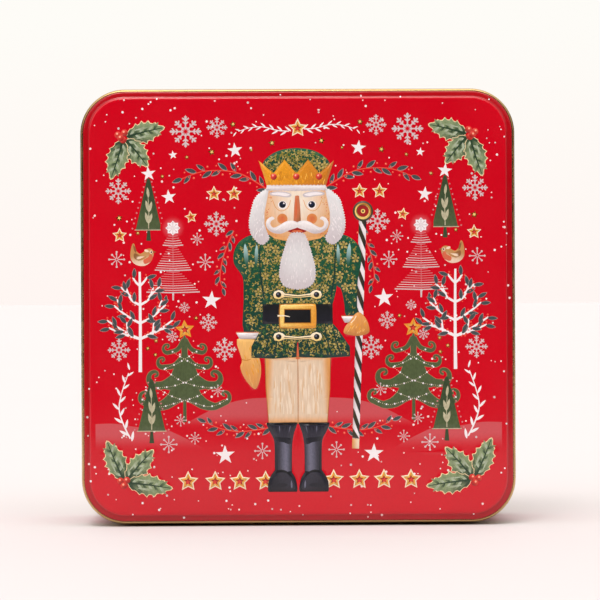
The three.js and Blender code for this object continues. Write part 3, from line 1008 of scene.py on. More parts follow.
def coat(sheet, rng):
    left_arm = smooth([(-15.0, 33.6), (-21.5, 32.6), (-26.8, 29.4), (-29.2, 24.4), (-29.0, 19.4),
                       (-26.4, 15.6), (-24.9, 12.0), (-24.8, 2.0), (-24.6, -12.3), (-15.5, -12.3), (-15.5, 0),
                       (-15, 20)], steps=3)
    right_arm = smooth([(15.0, 33.6), (21.5, 32.6), (26.4, 29.8), (28.9, 25.2), (29.2, 19.2), (27.8, 13.0),
                        (27.3, 4.0), (26.9, -4.4), (22.2, -4.4), (21.4, 1.0), (20.0, 7.6), (17.6, 10.0),
                        (14, 20)], steps=3)
    torso = np.concatenate((
        smooth([(-13.8, 32.8), (-17.4, 31.8), (-18.9, 24.0), (-18.2, 10.0), (-16.0, 1.0), (-15.8, -8.0)],
               False),
        smooth([(-18.6, -13.5), (-21.3, -23.6), (-0.6, -23.4)], False, 2),
        smooth([(-0.2, -16.5), (0.2, -16.5)], False, 1),
        smooth([(0.6, -23.4), (24.0, -23.2), (20.4, -13.5), (16.1, -8.0)], False, 2),
        smooth([(16.1, 1.0), (18.0, 9.0), (18.6, 24.0), (17.4, 31.8), (13.8, 32.8)], False),
    ))
    for part, share in ((left_arm, 0.55), (right_arm, 0.55), (torso, 0.7)):
        sheet.press(part, share, 2.6, "coat", ("coat_dark", (0, 28), (0, -24)))
    brocade(sheet, [left_arm, right_arm], rng, 1.75)
    brocade(sheet, [torso], rng, 1.35)

    def folds():
        for start, end, width in (((24.0, 28.8), (23.0, 17.0), 2.0), ((18.6, 28.4), (19.0, 17.0), 1.6)):
            sheet.ink(leaf(start, end, width), "sheen", ("coat", start, (end[0], end[1] + 1)))
        sheet.ink(stroke([(16.6, 31), (17.4, 24), (17.0, 14), (15.4, 4)], 0.5, 0.9), "coat_dark")
        for x in (9.5, 13.6, 17.6):
            sheet.ink(stroke([(x * 0.9, -10), (x * 1.12, -22.6)], 0.45, 0.8), "coat_dark")

    both_sides(sheet, folds)
    for x1, x2, z in ((-28.3, -17.8, -12.0), (20.0, 28.5, -4.7)):
        cuff = [(x1, z), (x2, z), (x2 - 1.4, z - 3.0), (x1 + 1.6, z - 3.0)]
        sheet.press(cuff, 0.65, 0.9, "hair", ("hair_shade", (x1, z), (x1, z - 3)))
        sheet.ink([(x1, z + 0.25), (x2, z + 0.25), (x2, z - 0.2), (x1, z - 0.2)], "nose")


def wood_grain(sheet, rng, shape, count, x_range, z_range, streak_to):
    """Short streaks inside the shape, all leaning the same way."""
    for _ in range(count):
        x, z = rng.uniform(*x_range), rng.uniform(*z_range)
        streak = leaf((x, z), (x + streak_to[0], z + streak_to[1]), 0.4)
        if contains(shape, streak).all():
            sheet.ink(streak, rng.choice(("tan", "mitten", "crown")))


def mitten(sheet, rng):
    hand = smooth([(-27.9, -15.2), (-19.6, -15.2), (-18.6, -21.0), (-17.2, -25.5), (-16.9, -30.5),
                   (-17.8, -35.0), (-19.6, -38.0), (-22.6, -35.6), (-25.2, -31.6), (-26.4, -27.6),
                   (-25.6, -24.4)], steps=3)
    sheet.press(hand, 0.6, 1.8, "mitten", ("tan", (-19, -18), (-24, -33)))
    wood_grain(sheet, rng, hand, 46, (-26, -17.8), (-35, -16.5), (0.7, -2.4))
    sheet.ink(stroke([(-25.8, -24.4), (-23.6, -24.9), (-21.6, -24.3)], 0.3), "crown_dark")


def fist(sheet, rng):
    hand = smooth([(26.5, -3.6), (28.9, -3.2), (31.6, -6.4), (32.9, -10.4), (32.3, -12.6), (28.4, -13.8),
                   (24.0, -13.4), (21.2, -12.4), (21.8, -9.6), (24.0, -7.0)], steps=3)
    sheet.press(hand, 0.85, 1.8, "tan", ("crown_dark", (26, -5), (31, -19)))
    wood_grain(sheet, rng, hand, 30, (22.5, 31.5), (-12.5, -5), (-0.9, -1.5))
    sheet.ink(stroke([(26.9, -4.6), (25.9, -6.4), (24.4, -7.8)], 0.35), "cream")


def belt_and_clasps(sheet):
    for z, dip in ((5.2, 0.5), (-14.1, 0.3)):
        bar = mirrored([(0.05, z + 0.55 - dip), (5.6, z + 0.75), (6.6, z + 1.9), (8.6, z + 2.6),
                        (10.9, z + 1.8), (11.6, z), (10.9, z - 1.9), (8.6, z - 2.5), (6.6, z - 1.7),
                        (5.6, z - 1.2), (0.05, z - 1.25 - dip)])
        sheet.press(bar, 0.95, 0.9, "coat_dark")
        inner = mirrored([(0.05, z + 0.3 - dip), (5.7, z + 0.5), (6.8, z + 1.6), (8.6, z + 2.2),
                          (10.6, z + 1.5), (11.2, z), (10.6, z - 1.6), (8.6, z - 2.1), (6.8, z - 1.4),
                          (5.7, z - 0.95), (0.05, z - 1.0 - dip)])
        sheet.ink(inner, "cream", ("gold_light", (0, z + 1), (0, z - 2.2)))
        sheet.ink(stroke([(-6.2, z - 0.2), (0, z - 0.45 - dip), (6.2, z - 0.2)], 0.3), "black")
        for x in (-8.7, 8.7):
            sheet.boss(disc((x, z), 1.3), 1.15, 0.6)
            sheet.ink(disc((x, z), 1.3, 12), "black")
            sheet.ink(disc((x - 0.3, z + 0.35), 0.42, 8), "boot_light")
    strap = mirrored([(0.05, 0.9), (15.9, 0.9), (16.2, -8.2), (0.05, -8.2)])
    sheet.press(strap, 0.8, 0.8, "black", ("boot_dark", (0, 1), (0, -7)))
    buckle = smooth(mirrored([(0.05, 1.0), (7.2, 1.0), (8.4, 0.0), (8.6, -4.6), (8.4, -9.2), (7.2, -10.2),
                              (0.05, -10.2)]), steps=2)
    sheet.press(buckle, 1.1, 1.0, "gold_dark", ("gold", (-8, 0), (0, -4)))
    sheet.ink(smooth(mirrored([(0.05, 0.5), (7.0, 0.5), (7.9, -0.3), (8.1, -4.6), (7.9, -8.9), (7.0, -9.7),
                               (0.05, -9.7)]), steps=2), "gold_light", ("gold", (-7, 0.5), (8, -9.5)))
    sheet.ink(mirrored([(0.05, -1.2), (6.2, -1.2), (6.3, -8.0), (0.05, -8.0)]), "gold_dark")
    sheet.ink(mirrored([(0.05, -1.7), (5.9, -1.7), (6.0, -7.6), (0.05, -7.6)]), "black")
    sheet.ink(stroke([(-9.2, -4.4), (-6.0, -4.4), (-3.6, -4.9)], 0.8, 0.3), "cream")


def trousers(sheet, rng):
    for side in (-1, 1):
        sheet.side = side
        leg = [(0.12, -23.0), (15.0, -23.0), (14.6, -38), (13.4, -54.0), (0.12, -54.0)]
        sheet.boss(smooth([(0.5, -22.4), (14.6, -22.4), (14.2, -38), (13.1, -53.8), (0.6, -53.8)], steps=3),
                   0.6, 2.8)
        sheet.ink(leg, "trouser")
        for _ in range(44):
            x, z = rng.uniform(0.9, 12.0), rng.uniform(-45, -26)
            streak = leaf((x, z), (x + rng.uniform(-0.12, 0.12), z - rng.uniform(4.0, 9.0)),
                          rng.uniform(0.4, 0.9))
            sheet.ink(streak, rng.choice(("trouser_light", "trouser_light", "trouser_warm")))
        sheet.ink([(15.0, -23.0), (14.6, -38), (13.4, -54.0), (10.4, -54), (11.2, -38), (10.8, -27),
                   (8.0, -23)], "tan", ("trouser", (14.6, -38), (11.0, -38.2)))
        sheet.ink([(0.12, -23.0), (12.0, -23.0), (11.0, -25.8), (7, -25.0), (0.12, -25.4)], "tan",
                  ("trouser", (8, -22.6), (8, -25.6)))
        sheet.ink([(0.12, -49.5), (13.7, -49.5), (13.4, -54.0), (0.12, -54)], "trouser",
                  ("tan", (6, -49.5), (6, -54.4)))
        sheet.ink(stroke([(15.0, -23.0), (14.6, -38), (13.4, -54.0)], 0.35), "trouser_line")
    sheet.side = 1
    sheet.ink(stroke([(0, -24), (0.1, -38), (0, -54.0)], 0.34), "trouser_line")
    sheet.ink([(-0.9, -24.3), (0.0, -17.4), (0.9, -24.3)], "cheek")
    sheet.ink([(-16, -22.9), (16, -22.9), (16, -23.6), (-16, -23.6)], "trouser_line")


def boots(sheet):
    for side in (-1, 1):
        sheet.side = side
        shape = np.concatenate((
            [(0.25, -53.6), (14.4, -53.6), (14.4, -54.6)],
            smooth([(12.8, -58.0), (11.2, -61.2), (10.8, -66.0), (10.8, -75.2)], False),
            smooth([(12.3, -77.2), (13.7, -80.4), (14.0, -84.0), (13.6, -85.2)], False),
            smooth([(0.7, -85.2), (0.4, -83.6), (1.2, -79.2), (2.9, -76.2)], False),
            smooth([(2.9, -70.0), (2.7, -63.0), (1.8, -58.0)], False),
        ))
        sheet.press(shape, 0.65, 2.0, "boot", ("boot_dark", (7, -60), 15))
        sheet.ink([(0.25, -53.4), (14.4, -53.4), (14.4, -54.3), (0.25, -54.3)], "black")
        sheet.ink([(3.0, -63.4), (5.6, -62.6), (5.6, -76), (3.2, -75.6)], "boot",
                  ("boot_light", (3, -68), (5.6, -68)))
        sheet.ink([(5.6, -62.6), (9.4, -62), (9.4, -75.8), (5.6, -76)], "boot_light",
                  ("boot", (5.6, -68), (9.2, -68)))
        sheet.ink(leaf((10.2, -62), (10.2, -75), 0.9), "boot_dark")
        sheet.ink(smooth([(3.4, -60.6), (7.6, -60.2), (10.6, -59.8), (10.2, -61.8), (6.6, -62.4),
                          (4.0, -63.4)], steps=2), "boot_dark")
        for k in range(7):
            sheet.ink(leaf((1.8 + k * 1.7, -54.8), (3.2 + k * 1.3, -59.0), 0.5),
                      "boot_light" if k % 3 == 1 else "boot_dark", ("boot", (0, -55), (0, -59)))
        toe = smooth([(2.2, -84.4), (2.4, -79.6), (5.6, -76.6), (9.6, -76.5), (12.2, -79.4), (12.7, -84.4)],
                     steps=3)
        sheet.ink(toe, "boot", ("boot_dark", (4, -78), (10, -84)))
        sheet.ink(stroke(smooth([(2.8, -78.2), (6.0, -75.8), (9.4, -75.8), (12.4, -78.4)], False),
                         0.5, 0.5, 1.1), "black")
        sheet.ink(leaf((3.0, -83.6), (3.2, -79.8), 0.75), "boot_light")
        sheet.ink(ellipse((7.6, -82.0), 2.6, 0.9, 12), "boot_dark")
        sheet.ink([(0.6, -84.6), (13.9, -84.6), (13.6, -85.2), (0.7, -85.2)], "black")
    sheet.side = 1


def soldier(sheet, rng):
    staff(sheet)
    sheet.origin = np.array((-0.4, 0.0))
    trousers(sheet, rng)
    boots(sheet)
    mitten(sheet, rng)
    coat(sheet, rng)
    belt_and_clasps(sheet)
    fist(sheet, rng)
    hair(sheet, rng)
    face(sheet, rng)
    beard(sheet, rng)
    sheet.origin = np.array((-0.7, 0.0))
    crown(sheet, rng)
    sheet.origin = np.zeros(2)


def soldier_reach():
    """Where snow isn't printed: round the soldier and the staff."""
    return [(-17, -14, 17, 72), (-31, -39, 31, 36), (-16, -87, 16, -10), (24, -67, 35, 49), (-25, 25, 25, 56)]


# ---------------------------------------------------------------------------------------
# The lid's print
# ---------------------------------------------------------------------------------------

def hills(sheet):
    def slopes():
        sheet.ink(smooth([(-93.2, -53.7), (-84, -53.6), (-74, -55.2), (-63, -55.8), (-55, -59.0),
                          (-47, -63.2), (-40.3, -67.3)], False).tolist() + [(-93.2, -67.3)], "hill",
                  ("ground", (-60, -58), (-60, -66.0)))
        sheet.ink(smooth([(-57.1, -56.2), (-50, -52.6), (-41, -47.8), (-33.4, -44.7), (-24, -42.6),
                          (-14.8, -42)], False).tolist() + [(0.0, -41.9), (0.0, -56.2)], "hill",
                  ("ground", (-30, -49), (-30, -55.6)))

    both_sides(sheet, slopes)


def top_left(sheet):
    holly(sheet, (-79.6, 77.6), ((-60.8, 82.2), (-68.6, 64.0), (-85.8, 58.2)),
          ((-2.8, 1.2), (0.2, 2.1), (-0.4, -1.2), (-1.6, -0.2)), 10.2)
    scatter(sheet, snowflake, ((-51.4, 80.2, 7.4), (-37, 82, 4.9), (-82.3, 53, 6), (-37.5, 37.8, 5.8)))
    scatter(sheet, asterisk, ((-46.3, 30.9, 2.9), (-83.2, 21.7, 3.8), (-42.6, 20.3, 3.8)))
    scatter(sheet, white_star, ((-28.8, 71.5, 3.6), (-57.2, 69.5, 2.1), (-59.2, 50.2, 3.5)))
    scatter(sheet, gold_star, ((-38.5, 51.6, 3.7), (-29.3, 51.6, 3.7)))
    gold_star(sheet, (-49.1, 41), 3.0, 10)
    gold_star(sheet, (-81.8, 32.7), 3.5)
    scatter(sheet, glitter, ((-29.7, 83.4, 1.7), (-39.5, 70.7, 1.8), (-21.4, 71.6, 1.0), (-11.9, 74.8, 1.8),
                             (-50.9, 68.4, 1.2), (-62.2, 59.6, 1.2), (-82, 40.6, 1.8), (-73.5, 33.7, 1.3)))
    needle_sprig(sheet, [(-4.0, 80.2), (-9.5, 80.6), (-16, 82.2), (-22, 81.8), (-27.2, 80.2)], 3.9, 3.5, 0.85)
    berry_branch(sheet, [(-13.5, 53.2), (-19, 56.8), (-26, 60.6), (-34, 62.2), (-44, 61.8), (-53, 58.6)],
                 6.2, 5.6, 1.9)
    berry_branch(sheet, [(-29.5, 34.6), (-32.6, 27.6), (-35, 20.0), (-35.9, 12.4), (-34.6, 8.4)],
                 4.6, 4.3, 1.5, -1)
    cone_tree(sheet, (-68.5, 59.0), 35.2, 5.9, 30.2)
    white_star(sheet, (-68.5, 60.9), 3.5)
    line_tree(sheet, -57.4, 36, ((28.1, 4.7), (16.7, 8.4), (6.6, 12.2)), 2.8)


SNOW_TREE_X = -72.6
# The arms of the bare tree: the height of the joint with the trunk, the tip and the bend between them
SNOW_TREE_ARMS = tuple(((SNOW_TREE_X, joint_z), tip, bend) for joint_z, tip, bend in (
    (-14.8, (-87.0, -9.6), (-80, -12.6)), (-14.8, (-87.8, -6.2), (-79, -11.8)),
    (-14.8, (-57.6, -6.2), (-65, -11.4)), (-14.8, (-57.0, -9.6), (-64.4, -10.8)),
    (-7.6, (-84.6, 0.6), (-78.6, -4.2)), (-7.6, (-60.8, 0.9), (-66.6, -4.4)),
    (0.8, (-79.0, 8.9), (-76.6, 3.2)), (0.8, (-66.4, 8.9), (-68.6, 3.4)),
    (9.6, (-75.8, 13.4), (-74.4, 11.2)), (9.6, (-69.2, 13.6), (-70.8, 11.4)),
))
SNOW_TREE_BOUGHS = (
    ((-78.2, -11.8), (-78.8, -7.0)), ((-66.8, -12.0), (-66.2, -6.6)), ((-80.8, -1.6), (-83.2, 3.4)),
    ((-64.6, -2.4), (-62.6, 3.0)), ((-76.6, 4.6), (-81.4, 9.0)), ((-68.6, 4.4), (-63.6, 9.2)),
)


def middle_left(sheet):
    snow_tree(sheet, SNOW_TREE_X, 16, -30, SNOW_TREE_ARMS, SNOW_TREE_BOUGHS)
    robin(sheet, (-71.7, 23.6))
    scatter(sheet, snowflake, ((-33.9, -19.8, 5.6), (-41.3, -7.4, 4.2), (-82.3, -19.8, 5.3),
                               (-52.3, -0.5, 2.6), (-57.9, -13.8, 2.8)))
    white_star(sheet, (-39.9, 2.8), 4.5, -4)
    scatter(sheet, glitter, ((-47, -5.4, 1.3), (-65.4, -15.7, 1.3), (-69.2, -19.2, 1.3), (-65.7, -22.1, 1.3)))


# A curly tree's boughs (root, bend, reach, lowest z, height and thickness), body and strings of lights
CURLY_BOUGHS = (
    ((0.3, -15.0), (3.2, -19.6), 10.2, -22.0, 5.0, 1.6),
    ((1.5, -24.0), (5.0, -27.2), 12.8, -28.8, 5.8, 2.0),
    ((5.0, -33.0), (9.6, -35.9), 17.4, -37.8, 8.7, 3.3),
    ((9.0, -44.0), (13.6, -45.8), 21.2, -45.4, 6.8, 2.5),
)
CURLY_BODY = (
    (0.05, -13.2), (0.9, -15.4), (1.3, -18.8), (1.2, -21.2), (1.8, -23.4), (4.2, -26.4), (5.2, -29.2),
    (6.9, -32.6), (9.6, -34.4), (9.6, -37.6), (6.6, -38.2), (8.1, -40.9), (11.0, -43.4), (14.6, -44.8),
    (15.6, -46.8), (12.1, -47.6), (7.5, -46.8), (4.0, -44.8), (0.7, -43.2),
)
CURLY_LIGHTS = (
    ((-5.5, -20.7), (-0.9, -23.6), (3.7, -26.2), (8.6, -28.2)),
    ((-9.2, -28.7), (-5.1, -31.9), (-1.2, -34.2), (5.2, -36.4), (12.1, -37.3)),
    ((-12.4, -37.3), (-8.1, -40.0), (-3.5, -42.0), (5.8, -44.7), (10.9, -45.9), (15.3, -44.9), (19.4, -42.6)),
)


def bottom_left(sheet):
    curly_tree(sheet, -52.3, CURLY_BOUGHS, CURLY_BODY, -53, CURLY_LIGHTS)
    gold_star(sheet, (-52.1, -10.6), 4.5, 4, "gold")
    cone_tree(sheet, (-67.5, -33.0), -57.0, 6.3, -62.6)
    needle_sprig(sheet, [(-77.3, -60.4), (-80.4, -54.0), (-82.4, -46.8), (-81.0, -39.0), (-78.0, -30.4)],
                 6.0, 4.8, 1.3)
    berry_branch(sheet, [(-13, -55.6), (-20, -56.8), (-28, -57.4), (-36, -56.0), (-42.6, -53.2)],
                 5.8, 5.2, 1.7)
    scatter(sheet, asterisk, ((-59.7, -63.2, 3.9), (-47.7, -60.4, 2.8), (-54.2, -52.1, 2.8),
                              (-16.8, -66.4, 3.7), (-37.1, -38.7, 2.8)))
    white_star(sheet, (-33.9, -68.2), 4.6, 2)
    for x in (-50.9, -38.5, -27.2, -15.4):
        sheet.boss(star((x, -80.2), 4.6, 0.5), 0.3, 1.0)
        gold_star(sheet, (x, -80.2), 4.9)
    holly(sheet, (-80.0, -80.4), ((-88.2, -61.2), (-66.6, -65.4), (-57.8, -83.4)),
          ((-1.9, 0.6), (1.0, 0.9), (-0.3, -1.5)), 10.2)


SNOW_EDGE = 97.2                  # snow is printed out to this half width


def snow(sheet, rng, count=440):
    """Specks of snow all over, clear of the soldier."""
    placed = 0
    reach = soldier_reach()
    while placed < count:
        p = (rng.uniform(-SNOW_EDGE, SNOW_EDGE), rng.uniform(-SNOW_EDGE, SNOW_EDGE))
        if half_width(*p) > SNOW_EDGE or any(a < p[0] < c and b < p[1] < d for a, b, c, d in reach):
            continue
        radius = rng.choice((0.3, 0.34, 0.39, 0.45, 0.55))
        sheet.ink(disc(p, radius, 6 if radius < 0.5 else 8), rng.choice(("dot", "white", "white", "frost")))
        placed += 1


def lid_print():
    rng = random.Random(12)
    sheet = Print()
    sheet.ink(turn_points(PANEL_EDGE + RISER_WIDTH / 2), "ground")
    hills(sheet)
    snow(sheet, rng)
    for part, shift in ((top_left, (-1.0, 1.0)), (middle_left, (-0.6, 0.8)), (bottom_left, (0.4, 0.5))):
        part(sheet)
        sheet.side, sheet.origin = -1, np.array(shift)
        part(sheet)
        sheet.side, sheet.origin = 1, np.zeros(2)
    gold_star(sheet, (0, 81.6), 4.5)
    soldier(sheet, rng)
    return sheet


# ---------------------------------------------------------------------------------------
# Materials. Colours come from the print; grain, gloss and wear from the nodes.
# ---------------------------------------------------------------------------------------

def new_material(name):
    material = bpy.data.materials.new(name)
    material.use_nodes = True
    nodes = material.node_tree.nodes
    shader = nodes["Principled BSDF"]
    return material, nodes, material.node_tree.links, shader


def noise(nodes, links, scale, detail=4.0, stretch=(1, 1, 1), rough=0.55):
    place = nodes.new("ShaderNodeTexCoord")
    mapping = nodes.new("ShaderNodeMapping")
    mapping.inputs["Scale"].default_value = stretch
    texture = nodes.new("ShaderNodeTexNoise")
    texture.inputs["Scale"].default_value = scale
    texture.inputs["Detail"].default_value = detail
    texture.inputs["Roughness"].default_value = rough
    links.new(place.outputs["Object"], mapping.inputs["Vector"])
    links.new(mapping.outputs["Vector"], texture.inputs["Vector"])
    return texture.outputs["Fac"]


def remap(nodes, links, value, low, high, out_low, out_high):
    node = nodes.new("ShaderNodeMapRange")
    for socket, number in (("From Min", low), ("From Max", high), ("To Min", out_low), ("To Max", out_high)):
        node.inputs[socket].default_value = number
    links.new(value, node.inputs["Value"])
    return node.outputs["Result"]


def blend(nodes, one, two):
    """A mix of two linear colours. Gives its factor's socket and its result's."""
    mix = nodes.new("ShaderNodeMix")
    mix.data_type = "RGBA"
    factor, first, second, result = mix.inputs[0], mix.inputs[6], mix.inputs[7], mix.outputs[2]
    first.default_value = (*one, 1)
    second.default_value = (*two, 1)
    return factor, result


def bump(nodes, links, shader, height, strength, distance):
    node = nodes.new("ShaderNodeBump")
    node.inputs["Strength"].default_value = strength
    node.inputs["Distance"].default_value = distance
    links.new(height, node.inputs["Height"])
    links.new(node.outputs["Normal"], shader.inputs["Normal"])


def print_material(name, roughness, vary, grain_scale, stretch=(1, 1, 1), grain_height=0.000012, coat=0.5,
                   metallic=0.0):
    """Litho ink under clear varnish: the print's colours, a little mottled, with orange peel in the gloss."""
    material, nodes, links, shader = new_material(name)
    ink = nodes.new("ShaderNodeAttribute")
    ink.attribute_name = "Ink"
    mottle = noise(nodes, links, grain_scale, 3.0, stretch)
    broad = noise(nodes, links, 22, 2.0)
    hsv = nodes.new("ShaderNodeHueSaturation")
    both = nodes.new("ShaderNodeMath")
    both.operation = "MULTIPLY"
    links.new(remap(nodes, links, mottle, 0.3, 0.7, 1 - vary, 1 + vary), both.inputs[0])
    links.new(remap(nodes, links, broad, 0.3, 0.7, 0.97, 1.03), both.inputs[1])
    links.new(both.outputs["Value"], hsv.inputs["Value"])
    links.new(ink.outputs["Color"], hsv.inputs["Color"])
    links.new(hsv.outputs["Color"], shader.inputs["Base Color"])
    links.new(remap(nodes, links, noise(nodes, links, 60, 5.0), 0.3, 0.7, roughness * 0.8, roughness * 1.25),
              shader.inputs["Roughness"])
    shader.inputs["Metallic"].default_value = metallic
    shader.inputs["IOR"].default_value = 1.4
    shader.inputs["Coat Weight"].default_value = coat
    shader.inputs["Coat Roughness"].default_value = 0.08
    shader.inputs["Coat IOR"].default_value = 1.4
    bump(nodes, links, shader, mottle, 0.35, grain_height)
    return material


def gold_material(name, colour, dark, roughness=0.24, streak=(1, 1, 1)):
    """Gold-lacquered tinplate: rolling lines and faint stains."""
    material, nodes, links, shader = new_material(name)
    stains = noise(nodes, links, 18, 6.0)
    lines = noise(nodes, links, 260, 4.0, streak)
    stained, gold = blend(nodes, linear(colour), linear(dark))
    links.new(remap(nodes, links, stains, 0.4, 0.75, 0.0, 0.3), stained)
    links.new(gold, shader.inputs["Base Color"])
    links.new(remap(nodes, links, lines, 0.3, 0.7, roughness * 0.7, roughness * 1.4),
              shader.inputs["Roughness"])
    shader.inputs["Metallic"].default_value = 1.0
    bump(nodes, links, shader, lines, 0.3, 0.000012)
    return material


def paper_material():
    """Unbleached corrugated paper with fibres and dark flecks."""
    material, nodes, links, shader = new_material("pad_paper")
    fibres = noise(nodes, links, 900, 6.0, (1, 1, 0.15))
    flecks = noise(nodes, links, 420, 2.0)
    ramp = nodes.new("ShaderNodeValToRGB")
    ramp.color_ramp.elements[0].position = 0.30
    ramp.color_ramp.elements[0].color = (*linear((176, 148, 112)), 1)
    ramp.color_ramp.elements[1].position = 0.62
    ramp.color_ramp.elements[1].color = (*linear((236, 226, 208)), 1)
    ramp.color_ramp.elements.new(0.42).color = (*linear((222, 208, 184)), 1)
    both = nodes.new("ShaderNodeMath")
    both.operation = "MULTIPLY"
    links.new(remap(nodes, links, fibres, 0.2, 0.8, 0.8, 1.1), both.inputs[0])
    links.new(remap(nodes, links, flecks, 0.22, 0.34, 0.55, 1.0), both.inputs[1])
    links.new(both.outputs["Value"], ramp.inputs["Fac"])
    links.new(ramp.outputs["Color"], shader.inputs["Base Color"])
    links.new(remap(nodes, links, fibres, 0.3, 0.7, 0.78, 0.95), shader.inputs["Roughness"])
    bump(nodes, links, shader, fibres, 0.6, 0.00012)
    return material


PRINTS = [
    print_material("litho_red", 0.18, 0.03, 900),
    print_material("litho_snow", 0.42, 0.03, 1400),
    print_material("litho_frost", 0.40, 0.10, 1600),
    print_material("litho_foliage", 0.42, 0.20, 1100, (1, 1, 0.6)),
    print_material("litho_gilt", 0.34, 0.12, 1500),
    print_material("litho_wood", 0.42, 0.06, 1300, (1, 1, 0.16), 0.00003),
    print_material("litho_brocade", 0.42, 0.32, 1500, (1, 1, 0.7), 0.00003),
    print_material("litho_hair", 0.48, 0.045, 2000, (1, 1, 0.3), 0.00003),
    print_material("litho_leather", 0.36, 0.16, 1500, (1, 1, 0.5)),
    print_material("gold_foil", 0.28, 0.25, 1200, metallic=0.9, coat=0.0),
]
GOLD_BAND = gold_material("gold_band", (206, 172, 118), (150, 112, 62), 0.25, (0.06, 1, 1))
GOLD_INSIDE = gold_material("gold_inside", (214, 184, 126), (176, 142, 88), 0.3, (1, 1, 0.05))
GOLD_BASE = gold_material("gold_base", (206, 176, 122), (150, 118, 70), 0.3, (0.05, 1, 1))
PAPER = paper_material()
INSIDE = len(PRINTS)              # the gold inside's slot, after the prints


# ---------------------------------------------------------------------------------------
# Lid
# ---------------------------------------------------------------------------------------

def border_height(w):
    """How far the lid's top falls back from the raised panel at half width w."""
    return step_height(w) + bend_height(w, SHOULDER, SHOULDER_RADIUS)


def step_height(w):
    """The riser and the slope of the land behind it."""
    foot = PANEL_EDGE + RISER_WIDTH
    land = LAND_FALL * np.clip((w - foot) / (SHOULDER - foot), 0, 1)
    return RISER_HEIGHT * smoothstep((w - PANEL_EDGE) / RISER_WIDTH) + land


def bend_height(w, edge, radius):
    bend = np.clip(w - (edge - radius), 0, radius)
    return radius - np.sqrt(np.maximum(radius**2 - bend**2, 0))


def grid(limit, pitch):
    """Staggered rows of points inside the turn at that half width."""
    rows = np.arange(-limit, limit, pitch * 0.87)
    points = [(x + (pitch / 2 if k % 2 else 0), z) for k, z in enumerate(rows)
              for x in np.arange(-limit, limit, pitch)]
    points = np.array(points)
    return points[half_width(*points.T) < limit]


def make_lid_top():
    sheet = lid_print()
    build = Build()
    loops = [turn_points(SHOULDER)]
    loops += [turn_points(SHOULDER - SHOULDER_RADIUS * (1 - math.sin(math.radians(a))))
              for a in (60, 40, 20, 0)]
    loops += [turn_points(w) for w in (LAND_MIDDLE, PANEL_EDGE + RISER_WIDTH)]
    loops += [turn_points(PANEL_EDGE + RISER_WIDTH * share) for share in (0.8, 0.6, 0.4, 0.2, 0)]
    inner = PANEL_EDGE - 0.5
    extra = np.concatenate((grid(inner, FRONT_PITCH), sheet.boss_points()))
    extra = extra[half_width(*extra.T) < inner]
    flat, triangles, tops = sheet.triangles(loops, extra)

    def front(points):
        y = FRONT + border_height(half_width(*points.T))
        y -= sheet.relief(points)
        return np.stack((points[:, 0], y, points[:, 1]), 1)

    # outside the ground red, the land takes the darker border red: painted shade for that recess
    lay(build, sheet, flat, triangles, tops, front, "border")

    # the edge turned down into the band, then the lacquered inside, which shows the bosses from behind
    edge = FRONT + TOP_HEIGHT
    outer = build.turn(SHOULDER, FRONT + float(border_height(SHOULDER)))
    rim = build.turn(SHOULDER, edge)
    under = build.turn(SHOULDER - SHEET, edge)
    build.bridge(rim, outer, GROUND)
    build.bridge(under, rim, INSIDE)
    inside = SHOULDER - SHEET
    loops = [turn_points(inside)]
    loops += [turn_points(inside - INNER_BEND * (1 - math.sin(math.radians(a)))) for a in (45, 0)]
    loops += [turn_points(PANEL_EDGE + RISER_WIDTH * share) for share in (1, 0.66, 0.33, 0)]
    back = Print()
    flat, triangles, _ = back.triangles(loops, grid(inner, REAR_PITCH))

    def rear(points):
        w = half_width(*points.T)
        y = FRONT + SHEET + step_height(w) + bend_height(w, inside, INNER_BEND) - sheet.relief(points) * 0.9
        return np.stack((points[:, 0], y, points[:, 1]), 1)

    first = len(build.points)
    build.add([tuple(p) for p in rear(flat)])
    for a, b, c in triangles.tolist():
        build.face((first + c, first + b, first + a), INSIDE)
    inner_rim = build.turn(inside, FRONT + SHEET + float(step_height(inside)) + INNER_BEND)
    build.bridge(inner_rim, under, INSIDE)
    build.finish("printed_lid_top", [*PRINTS, GOLD_INSIDE], "lid", "lid_top", "printed_top")


def make_lid_band():
    inside = SKIRT_OUT - SHEET
    crest_y = FRONT + TOP_HEIGHT + GAP - 0.1
    curl_y = FRONT + SKIRT_DEPTH
    curl_w = SEAM_OUT - CURL_RADIUS
    section = [(BEAD_CREST + BEAD_SWELL * math.cos(a), crest_y + BEAD_DEPTH * (1 + math.sin(a)))
               for a in np.radians(np.linspace(10, -90, 26))]
    section += [(CRIMP_EDGE + 0.2, crest_y + 0.12), (CRIMP_EDGE, crest_y + 0.6), (CRIMP_EDGE, crest_y + 1.2),
                (CRIMP_EDGE + 0.5, crest_y + 1.7)]
    section += [(inside, crest_y + 2.1), (inside, curl_y - 1.2)]
    section += section_arc(curl_w, curl_y, CURL_RADIUS, 153, -120, 20)
    section += [(SKIRT_OUT, curl_y - 1.5), (SKIRT_OUT, crest_y + 5.2), (SKIRT_OUT + 0.12, crest_y + 4.4)]
    build = Build()
    build.hoop(section, [0] * len(section))
    build.finish("gold_lid_band", [GOLD_BAND], "lid", "lid_band", "gold_tinplate")


make_lid_top()
make_lid_band()


# ---------------------------------------------------------------------------------------
# Body
# ---------------------------------------------------------------------------------------

WALL_OUT = SKIRT_OUT
HOOK_BACK = BACK - SHEET - GAP
STOP_Y = FRONT + STOP_DEPTH
PRINT_TOP = STOP_Y + 2.4          # depths where the wall's print starts and ends
PRINT_FOOT = HOOK_BACK - SHEET - 0.1
FRIEZE_MIDDLE = -10.0             # height of the frieze's middle on the unrolled wall


